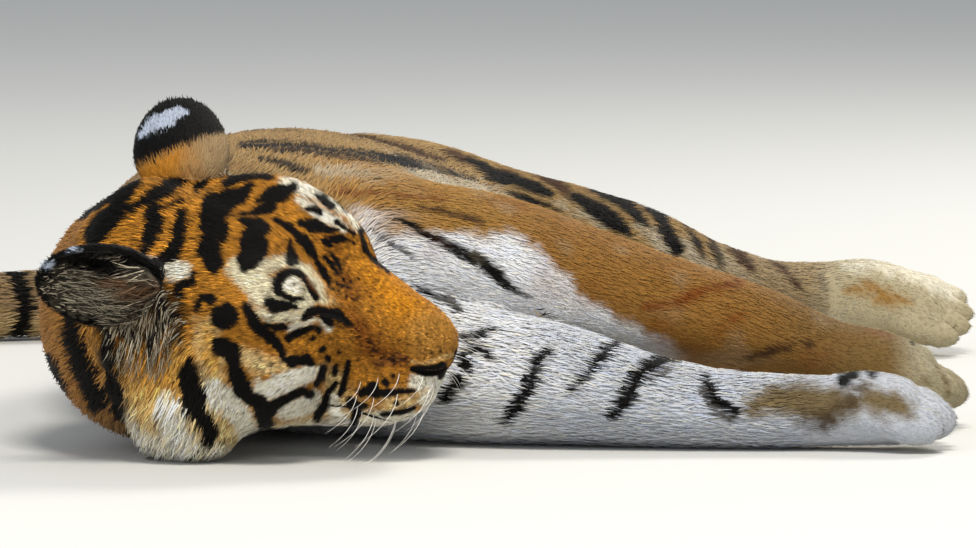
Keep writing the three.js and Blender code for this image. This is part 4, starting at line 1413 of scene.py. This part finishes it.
# ---------------------------------------------------------------- coat
# The ways that the head's hair lies, in its own axes.
HEAD_LIE = {
    "back": array(-1.0, 0.0, -0.12),
    "cheek": array(-0.8, 0.0, -0.62),
    "ruff": array(-0.25, 0.0, -1.0),
    "ear_front": array(0.1, 0, -0.9),
}
LIE_SPREAD = {"face": 0.25, "ear_front": 0.45, "loose": 0.10}


def head_lie(q):
    """The way of the head's hair: back, down on the cheeks and in the ruff, hanging before the ears."""
    side = np.abs(q[:, 1])
    lie = mix(HEAD_LIE["back"], HEAD_LIE["cheek"], smooth(-10, -70, q[:, 2])[:, None])
    behind = smooth(0, -80, q[:, 0]) * smooth(20, 60, side) * smooth(0, -50, q[:, 2])
    lie = mix(lie, HEAD_LIE["ruff"], behind[:, None])
    lie[:, 1] += LIE_SPREAD["face"] * np.sign(q[:, 1]) * smooth(0, 50, side)
    hang = HEAD_LIE["ear_front"] + array(0, LIE_SPREAD["ear_front"], 0) * np.sign(q[:, 1:2])
    return mix(lie, hang, before_ears(q)[:, None])


def coat_lie(p, n, share):
    """The way that the hair lies, along the skin."""
    total = np.zeros_like(p)
    for i, name in enumerate(NAMES):
        on = share[:, i] > LEAST
        if not on.any():
            continue
        way = head_lie(in_head(p[on])) @ HEAD_AXES if name == "head" else limb_place(name, p[on])[1]
        if name == "neck":
            way = -way
        total[on] += way * share[on, i : i + 1]
    total += LIE_SPREAD["loose"] * np.stack([noise(p + k * 31, 26) for k in range(3)], 1)
    return unit(total - (total * n).sum(1, keepdims=True) * n)


# Hair length in millimetres.
LONG = {"torso": 19, "neck": 21, "foreleg_left": 13, "foreleg_right": 18, "hindleg_left": 14,
        "hindleg_right": 14, "tail": 20, "head": 9, "nose": 3.6, "brow": 7.0, "paw": 6.0}
LONGER = {"cheek": 24, "nape": 5, "chin": 6, "belly": 6}


def coat_long(p, n, share):
    long = sum(share[:, i] * LONG[name] for i, name in enumerate(NAMES))
    q = in_head(p)
    ahead, across, up = q.T
    own = mix(LONG["nose"], LONG["brow"], smooth(70, -40, ahead))
    cheek = smooth(-40, -110, ahead) * smooth(-20, -90, up) * smooth(30, 80, np.abs(across))
    own = own + LONGER["cheek"] * cheek + LONGER["nape"] * smooth(-60, -150, ahead)
    own = own + LONGER["chin"] * smooth(-100, -125, up) * smooth(70, 40, ahead)
    own = mix(own, EAR_FRONT["long"], before_ears(q))
    long = mix(long, own, share[:, NAMES.index("head")])
    belly = smooth(0.2, 0.8, n[:, 0]) * (share[:, NAMES.index("torso")] + share[:, NAMES.index("neck")])
    long = long + LONGER["belly"] * belly
    for leg in LEGS:
        paw = smooth(150, 60, np.linalg.norm(p - PARTS[leg].paw.at, axis=1))
        long = mix(long, LONG["paw"], 0.9 * paw * share[:, NAMES.index(leg)])
    return long


def scatter(mesh, thick):
    """Even places on the skin: a given number to each square millimetre at its vertices."""
    tris = triangles_of(mesh)
    p, n = vertex_places(mesh), vertex_normals(mesh)
    a, b, c = p[tris].transpose(1, 0, 2)
    area = np.linalg.norm(np.cross(b - a, c - a), axis=1) / 2
    want = np.cumsum(area * thick[tris].mean(1))
    count = int(want[-1])
    marks = np.arange(count) + draws.random(count)
    face = np.minimum(np.searchsorted(want, marks), len(tris) - 1)
    u, v = draws.random(count), draws.random(count)
    flip = u + v > 1
    u[flip], v[flip] = 1 - u[flip], 1 - v[flip]
    w = np.stack([1 - u - v, u, v], 1)[:, :, None]
    return (p[tris[face]] * w).sum(1), unit((n[tris[face]] * w).sum(1))


# The faces of a tuft's five points.
SPINDLE = [(0, 1, 2), (0, 2, 3), (0, 3, 1), (1, 4, 2), (2, 4, 3), (3, 4, 1)]
TUFT = {"sunk": 1.2, "widest": 0.38, "arch": 0.8, "stray": 0.10, "thick": 0.7, "patch": 0.003, "most": 32000}


def tuft_points(root, n, lie, long, wide, lift):
    """Spindles: a root in the skin, a ring of three where it is widest, and a tip."""
    side = np.cross(lie, n)
    root_at = root - n * TUFT["sunk"]
    ring = root + lie * (TUFT["widest"] * long)[:, None] + n * (lift * TUFT["arch"])[:, None]
    tip = root + lie * long[:, None] + n * (lift * mix(0.7, 1.3, draws.random(len(root))))[:, None]
    tip = tip + side * (TUFT["stray"] * long * draws.normal(size=len(root)))[:, None]
    half = (wide / 2)[:, None]
    left, right = ring - side * half, ring + side * half
    top = ring + n * half * TUFT["thick"]
    points = np.stack([root_at, left, right, top, tip], 1)
    normals = np.stack([n, n - 0.35 * side, n + 0.35 * side, n, unit(n + 0.2 * lie)], 1)
    return points, unit(normals)


# Painted shade along each tuft, root to tip: darkest at its root, deep in the coat, lightest at its tip.
ROOT_PAINTED_SHADE = array(0.62, 0.84, 0.84, 0.98, 1.06)
UNWRAP = {"axis": -50, "back": 240, "long": 380, "spare": 30}


def uv_place(name, p):
    """A place on the part's own unwrap: along it and round it."""
    if name == "head":
        q = in_head(p)
        angle = np.arctan2(q[:, 2] - UNWRAP["axis"], q[:, 1])
        far = (q[:, 0] + UNWRAP["back"]) / UNWRAP["long"]
    else:
        far, _, angle = limb_place(name, p)
        far = (far + UNWRAP["spare"]) / (PARTS[name].far[-1] + 2 * UNWRAP["spare"])
    turn = angle / (2 * math.pi) + 0.5
    return np.clip(np.stack([far, turn], 1), 0, 1) * 0.99 + 0.004


def put_object(name, mesh):
    piece = bpy.data.objects.new(name, mesh)
    bpy.context.scene.collection.objects.link(piece)
    return piece


def put_piece(name, mesh, material):
    """A finished mesh as a piece of the body, with its material."""
    mesh.materials.append(material)
    piece = put_object(name, mesh)
    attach(piece, "root")
    return piece


def put_colours(mesh, rgb):
    """The painted coat, as a colour at each vertex."""
    rgba = np.column_stack([rgb, np.ones(len(rgb))]).astype(np.float32)
    mesh.color_attributes.new("coat", "FLOAT_COLOR", "POINT").data.foreach_set("color", rgba.ravel())


def write_tufts(name, points, normals, rgb, uv):
    """One joined mesh of closed tufts, with its colours, its normals and its map."""
    count = len(points)
    faces = (np.array(SPINDLE)[None] + 5 * np.arange(count)[:, None, None]).reshape(-1, 3)
    mesh = bpy.data.meshes.new(name)
    mesh.vertices.add(count * 5)
    mesh.vertices.foreach_set("co", (points.reshape(-1) * MM).astype(np.float32))
    mesh.loops.add(len(faces) * 3)
    mesh.loops.foreach_set("vertex_index", faces.reshape(-1).astype(np.int32))
    mesh.polygons.add(len(faces))
    mesh.polygons.foreach_set("loop_start", np.arange(0, len(faces) * 3, 3, dtype=np.int32))
    mesh.update(calc_edges=True)
    shade_smooth(mesh)
    # each tuft's colour darkened toward its root: painted shade
    put_colours(mesh, (rgb[:, None, :] * ROOT_PAINTED_SHADE[None, :, None]).reshape(-1, 3))
    corner = np.array([(0, 0), (0, 0.5), (0.5, 0), (0.5, 0.5), (1, 1)]) * TUFT["patch"]
    spots = (uv[:, None, :] + corner[None]).reshape(-1, 2)
    bake = mesh.uv_layers.new(name="OFBake", do_init=False)
    bake.uv.foreach_set("vector", spots[faces.reshape(-1)].reshape(-1).astype(np.float32))
    mesh.normals_split_custom_set_from_vertices(normals.reshape(-1, 3))
    return put_piece(name, mesh, COAT)


# Fur on an ear's back and in its cup, each pair in that order.
EAR_FUR = {"thick": 0.42, "wide": (1.1, 1.3), "lift": (1.4, 4.0), "spread": (0.25, -0.35), "hug": (1.0, 0.4)}


def ear_coat(side, mesh):
    """Short fur on an ear's back, and long loose hair in its cup."""
    axis, back, across = (v @ HEAD_AXES for v in ear_axes(side)[1:])
    p, n = scatter(mesh, np.full(len(mesh.vertices), EAR_FUR["thick"]))
    far, wide_at, outer = ear_place(side, p, n)
    keep = (far > 0.0) & (outer | (draws.random(len(p)) < mix(0.7, 0.35, smooth(0.2, 0.5, far))))
    p, n, far, wide_at, outer = (v[keep] for v in (p, n, far, wide_at, outer))
    count = len(p)
    by_side = lambda key: np.where(outer, *EAR_FUR[key])
    loose = draws.normal(size=(count, 3)) * 0.12
    spread = by_side("spread")[:, None] * wide_at[:, None]
    lie = axis + spread * across + loose - np.where(outer, 0.0, 0.35)[:, None] * back
    lie = unit(lie - (lie * n).sum(1, keepdims=True) * n * by_side("hug")[:, None])
    cup_long = mix(36, 9, smooth(0.25, 0.9, far)) * mix(1.0, 0.3, smooth(0.5, 0.95, np.abs(wide_at)))
    long = np.where(outer, mix(15, 6, smooth(0.25, 0.5, far)), cup_long)
    long = long * mix(0.7, 1.2, draws.random(count))
    rgb = paint_ear(side, p + lie * (0.15 * long)[:, None], n)
    # the cup's hair is pale or dark strand by strand, brown and black where the photograph has it so
    strand = np.where(draws.random(count) < 0.33, 2.6, 0.25)[:, None]
    view = View(*to_photo(p + lie * (0.5 * long)[:, None]), p, ~outer & (side == "right"))
    brown = smooth(-3, 6, view.reach(EAR_RIGHT_BROWN, 6)) * 0.75
    velvet = smooth(-2, 2, view.reach(EAR_RIGHT_BLACK, 3))
    cup = layer(INK["ear_hair"] * strand, INK["brown"] * mix(0.4, 2.6, draws.random(count))[:, None], brown)
    cup = layer(cup, "ear", velvet)
    long = long * mix(1.0, 0.35, velvet)
    rgb = np.where(outer[:, None], rgb, cup) * mix(0.8, 1.15, draws.random(count))[:, None]
    lift = by_side("lift") * mix(0.5, 1.5, draws.random(count))
    points, normals = tuft_points(p, n, lie, long, by_side("wide"), lift)
    uv = np.clip(np.stack([far, 0.25 + 0.22 * wide_at + np.where(outer, 0.0, 0.5)], 1), 0.003, 0.99)
    write_tufts("ear_coat_" + side, points, normals, np.clip(rgb, 0, 1), uv)


# ---------------------------------------------------------------- materials
def principled(name, roughness, **sockets):
    material = bpy.data.materials.new(name)
    material.use_nodes = True
    shader = material.node_tree.nodes["Principled BSDF"]
    shader.inputs["Roughness"].default_value = roughness
    for key, value in sockets.items():
        shader.inputs[key.replace("_", " ")].default_value = value
    return material, shader


def grained(material, shader, grain, detail, tones, bump_by):
    """Noise in object space, as fine bumps and as a ramp of tones, whose colour is given back."""
    nodes, links = material.node_tree.nodes, material.node_tree.links
    place = nodes.new("ShaderNodeTexCoord")
    cells = nodes.new("ShaderNodeTexNoise")
    cells.inputs["Scale"].default_value = grain
    cells.inputs["Detail"].default_value = detail
    ramp = nodes.new("ShaderNodeValToRGB")
    for element, (position, tone) in zip(ramp.color_ramp.elements, tones):
        element.position = position
        element.color = tone
    bump = nodes.new("ShaderNodeBump")
    bump.inputs["Strength"].default_value, bump.inputs["Distance"].default_value = bump_by
    links.new(place.outputs["Object"], cells.inputs["Vector"])
    links.new(cells.outputs["Fac"], ramp.inputs["Fac"])
    links.new(cells.outputs["Fac"], bump.inputs["Height"])
    links.new(bump.outputs["Normal"], shader.inputs["Normal"])
    return ramp.outputs["Color"]


COAT_TONES = ((0.3, (0.45, 0.42, 0.40, 1)), (0.7, (1, 1, 1, 1)))
COAT_GRAIN = 0.35  # how far the tones are mixed into the painted colour


def coat_material(name, grain, depth):
    """The painted coat: its colour attribute, varied by fine noise, over hair-fine bumps."""
    material, shader = principled(name, 0.72, Specular_IOR_Level=0.12, Sheen_Weight=0.04, Sheen_Roughness=0.4)
    nodes, links = material.node_tree.nodes, material.node_tree.links
    painted = nodes.new("ShaderNodeAttribute")
    painted.attribute_name = "coat"
    tint = nodes.new("ShaderNodeMix")
    tint.data_type = "RGBA"
    tint.blend_type = "MULTIPLY"
    tint.inputs[0].default_value = COAT_GRAIN
    links.new(painted.outputs["Color"], tint.inputs[6])
    links.new(grained(material, shader, grain, 3, COAT_TONES, (0.6, depth)), tint.inputs[7])
    links.new(tint.outputs[2], shader.inputs["Base Color"])
    return material


def skin_material(name, dark, light, roughness, grain, gloss=0.5):
    """Bare skin, horn or hair: two tones of one colour over fine bumps."""
    material, shader = principled(name, roughness, Specular_IOR_Level=gloss)
    tones = ((0.35, (*dark, 1)), (0.65, (*light, 1)))
    links = material.node_tree.links
    links.new(grained(material, shader, grain, 4, tones, (0.4, 0.0006)), shader.inputs["Base Color"])
    return material


# ---------------------------------------------------------------- face
def tube(name, line, radii, material, sides=10):
    """A closed tube along a line, as a piece."""
    along = unit(np.gradient(line, axis=0))
    a = unit(np.cross(along, array(0.3, 0.2, 1)))
    b = np.cross(along, a)
    turns = np.linspace(0, 2 * math.pi, sides, endpoint=False)
    rings = line[:, None] + np.asarray(radii)[:, None, None] * (
        np.cos(turns)[None, :, None] * a[:, None] + np.sin(turns)[None, :, None] * b[:, None]
    )
    mesh = loft(name, np.vstack([rings.reshape(-1, 3), line[0], line[-1]]) * MM, sides)
    shade_smooth(mesh)
    put_piece(name, mesh, material)


def put_eye(side, mirror):
    """The ball of an eye, under its lids."""
    bm = bmesh.new()
    bmesh.ops.create_uvsphere(bm, u_segments=40, v_segments=24, radius=1)
    mesh = bpy.data.meshes.new("eyeball_" + side)
    bm.to_mesh(mesh)
    bm.free()
    local = vertex_places(mesh) * (EYE["half"] - EYE_COVER)
    put_places(mesh, out_of_head((local @ EYE_AXES + EYE_AT) * mirror) * MM)
    turn_outward(mesh)
    shade_smooth(mesh)
    eye = put_piece("eyeball_" + side, mesh, EYE_LOOK)
    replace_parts(eye, "eye_" + side)


FLOOR_CLEAR = 1.5
WHISKER_HALF = (0.32, 0.05)  # at its root and its tip


def put_whisker(side, i, pit, mirror):
    """A stiff hair that sweeps out and back from its pit, bent up where it meets the floor."""
    row, step = divmod(i, len(WHISKER_LONG))
    near = side == "right"
    start = unit(array(0.25, 0.9, 0.1 - 0.16 * row) if near else array(0.6, 0.6, -0.25 - 0.16 * row))
    bend = array(-0.5, 0.0, -0.10) if near else array(-0.2, 0.0, -0.35)
    length = WHISKER_LONG[step] * WHISKER_ROW_LONG[row]
    t = np.linspace(0, 1, 14)[:, None]
    line = out_of_head((pit + start * length * t + bend * length * t**2) * mirror)
    line[:, 2] = FLOOR_CLEAR + np.logaddexp(0, (line[:, 2] - FLOOR_CLEAR) / 2) * 2
    radii = (WHISKER_HALF[0] - WHISKER_HALF[1]) * (1 - t[:, 0]) + WHISKER_HALF[1]
    tube(f"whisker_{side}_{i + 1}", line, radii, WHISKER, 6)


def make_face():
    """Eyes with their lid rims, the lips and the whiskers."""
    slit = through(LIDS[:, :3], 28)
    out = slope(eyed_head, slit)
    across = unit(np.cross(np.gradient(slit, axis=0), out))
    taper = np.sin(np.linspace(0.3, math.pi - 0.3, len(slit)))
    mouth = settle(head_distance, through(MOUTH_LINE[:, :3], 30))
    for side, mirror in (("left", array(1, 1, 1)), ("right", MIRROR)):
        for rim, shift in (("upper", 1.0), ("lower", -1.0)):
            place = slit + out * LID["proud"] + across * (shift * taper)[:, None]
            tube(f"lid_{rim}_{side}", out_of_head(place * mirror), 0.3 + 0.5 * taper, RIM)
        put_eye(side, mirror)
        tube("lip_" + side, out_of_head(mouth * mirror), np.full(len(mouth), 1.5), RIM)
        for i, pit in enumerate(PITS):
            put_whisker(side, i, pit, mirror)


# ---------------------------------------------------------------- build
TUFT_THICK = {"body": 0.10, "head": 0.38, "face": 0.80, "below": 0.45}
SHOWN = 0.6  # how far along a tuft its colour is taken
LOWEST = 0.4  # of the tufts over the floor


def make_coat(skin_data):
    """The tufts of all parts, in pieces along each part."""
    p, n = vertex_places(skin_data), vertex_normals(skin_data)
    head = shares(p)[:, NAMES.index("head")]
    thick = mix(TUFT_THICK["body"], TUFT_THICK["head"], head)
    face = smooth(-60, 40, in_head(p)[:, 0]) * head
    thick = thick + (TUFT_THICK["face"] - TUFT_THICK["head"]) * face
    thick = thick * mix(1.0, TUFT_THICK["below"], smooth(-0.3, -0.9, n[:, 2]))

    roots, root_n = scatter(skin_data, thick)
    count = len(roots)
    share = shares(roots)
    head = share[:, NAMES.index("head")]
    q = in_head(roots)
    lie = coat_lie(roots, root_n, share)
    long = coat_long(roots, root_n, share) * mix(0.7, 1.2, draws.random(count))
    rgb = paint(roots + lie * (SHOWN * long)[:, None], root_n)
    wide = np.clip(long * 0.08, 0.6, 1.6)
    wide = mix(wide, 0.9, smooth(0.2, 0.6, before_ears(q)) * head)
    lift = np.clip(long * mix(0.12, 0.2, head), 0.7, 4.5) * mix(0.5, 1.4, draws.random(count))
    points, normals = tuft_points(roots, root_n, lie, long, wide, lift)
    points[:, :, 2] = np.maximum(points[:, :, 2], LOWEST)
    pale = draws.random(count) < 0.42 * smooth(0.1, 0.5, before_ears(q)) * head
    rgb[pale] = INK["ear_hair"] * 2.0
    # every tuft has its own tone, more so on the head, where the short hair is grained
    tint = mix(mix(0.76, 0.55, head), mix(1.14, 1.3, head), draws.random(count))[:, None]
    grain = noise(q * HAIR_GRAIN, 1.5) + 0.4 * noise(roots, 4.5)
    tint = tint * (1 + 0.95 * (grain * head)[:, None])
    warm = array(1.0, 1.0, 1.0) + array(0.06, 0.0, -0.14) * draws.normal(size=(count, 1)) * 0.5
    rgb = np.clip(rgb * tint * warm, 0, 1)

    home = share.argmax(1)
    for i, name in enumerate(NAMES):
        mine = np.flatnonzero(home == i)
        if not len(mine):
            continue
        along = q[mine, 0] if name == "head" else limb_place(name, roots[mine])[0]
        pieces = np.array_split(mine[np.argsort(along)], math.ceil(len(mine) / TUFT["most"]))
        for k, chosen in enumerate(pieces):
            uv = uv_place(name, roots[chosen])
            write_tufts(f"coat_{name}_{k + 1}", points[chosen], normals[chosen], rgb[chosen], uv)


def finish_skin(name, data, rgb, slot, *nodes):
    """A skin in place of the solids' nodes: from millimetres to metres, painted and smooth."""
    put_places(data, vertex_places(data) * MM)
    shade_smooth(data)
    put_colours(data, rgb)
    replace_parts(put_piece(name, data, SKIN), *nodes)


COAT = coat_material("coat", 900, 0.0006)
SKIN = coat_material("skin", 500, 0.001)
RIM = skin_material("lid_skin", (0.004, 0.0035, 0.003), (0.010, 0.008, 0.007), 0.75, 700, 0.15)
EYE_LOOK = skin_material("eye", (0.010, 0.007, 0.005), (0.03, 0.02, 0.012), 0.35, 200, 0.2)
WHISKER = skin_material("whisker", (0.78, 0.75, 0.68), (0.92, 0.90, 0.84), 0.38, 90)

skin_data = make_skin()
skin_p, skin_n = vertex_places(skin_data), vertex_normals(skin_data)
SKIN_TREE = BVHTree.FromPolygons(skin_p.tolist(), [tuple(f.vertices) for f in skin_data.polygons])
# The skin under the tufts is painted a fifth darker than the coat over it: painted shade between the hairs.
skin_rgb = paint(skin_p, skin_n) * 0.8
make_coat(skin_data)
finish_skin("skin", skin_data, skin_rgb, "coat", *NAMES)
for side in ("left", "right"):
    ear_data = make_ear(side)
    ear_rgb = paint_ear(side, vertex_places(ear_data), vertex_normals(ear_data))
    ear_coat(side, ear_data)
    finish_skin("ear_skin_" + side, ear_data, ear_rgb, "ear_coat", "ear_" + side)
make_face()


# ---------------------------------------------------------------- stage
FLOOR = {"half": 14.0, "shade": (0.62, 0.62, 0.60, 1), "roughness": 0.9}
# Each light: where it stands, where it looks, its size, its power and its tint.
LIGHTS = {
    "key": ((0.6, -3.6, 4.6), (0, -0.3, 0.1), 1.5, 280, (1.0, 0.95, 0.86)),
    "back": ((2.4, 2.8, 3.4), (0, -0.2, 0.1), 1.5, 150, (1.0, 0.96, 0.88)),
    "fill": ((-3.0, -5.5, 1.4), (0, 0, 0.1), 4.0, 125, (0.92, 0.96, 1.0)),
}
STUDIO = {"tint": (0.86, 0.90, 0.96, 1), "strength": 0.55}


def make_stage():
    """A plain pale floor."""
    data = bpy.data.meshes.new("floor")
    far = FLOOR["half"]
    data.from_pydata([(-far, -far, 0), (far, -far, 0), (far, far, 0), (-far, far, 0)], [], [(0, 1, 2, 3)])
    material, shader = principled("floor", FLOOR["roughness"])
    shader.inputs["Base Color"].default_value = FLOOR["shade"]
    data.materials.append(material)
    floor = put_object("floor", data)


def area_light(name, at, toward, size, power, tint):
    data = bpy.data.lights.new(name, "AREA")
    data.energy = power
    data.size = size
    data.color = tint
    light = put_object(name, data)
    light.location = at
    light.rotation_euler = (Vector(toward) - Vector(at)).to_track_quat("-Z", "Y").to_euler()


def make_studio():
    world = bpy.data.worlds.new("studio")
    world.use_nodes = True
    background = world.node_tree.nodes["Background"]
    background.inputs[0].default_value = STUDIO["tint"]
    background.inputs[1].default_value = STUDIO["strength"]
    bpy.context.scene.world = world
    bpy.context.scene.view_settings.view_transform = "Standard"


make_stage()
for name, settings in LIGHTS.items():
    area_light(name, *settings)
make_studio()
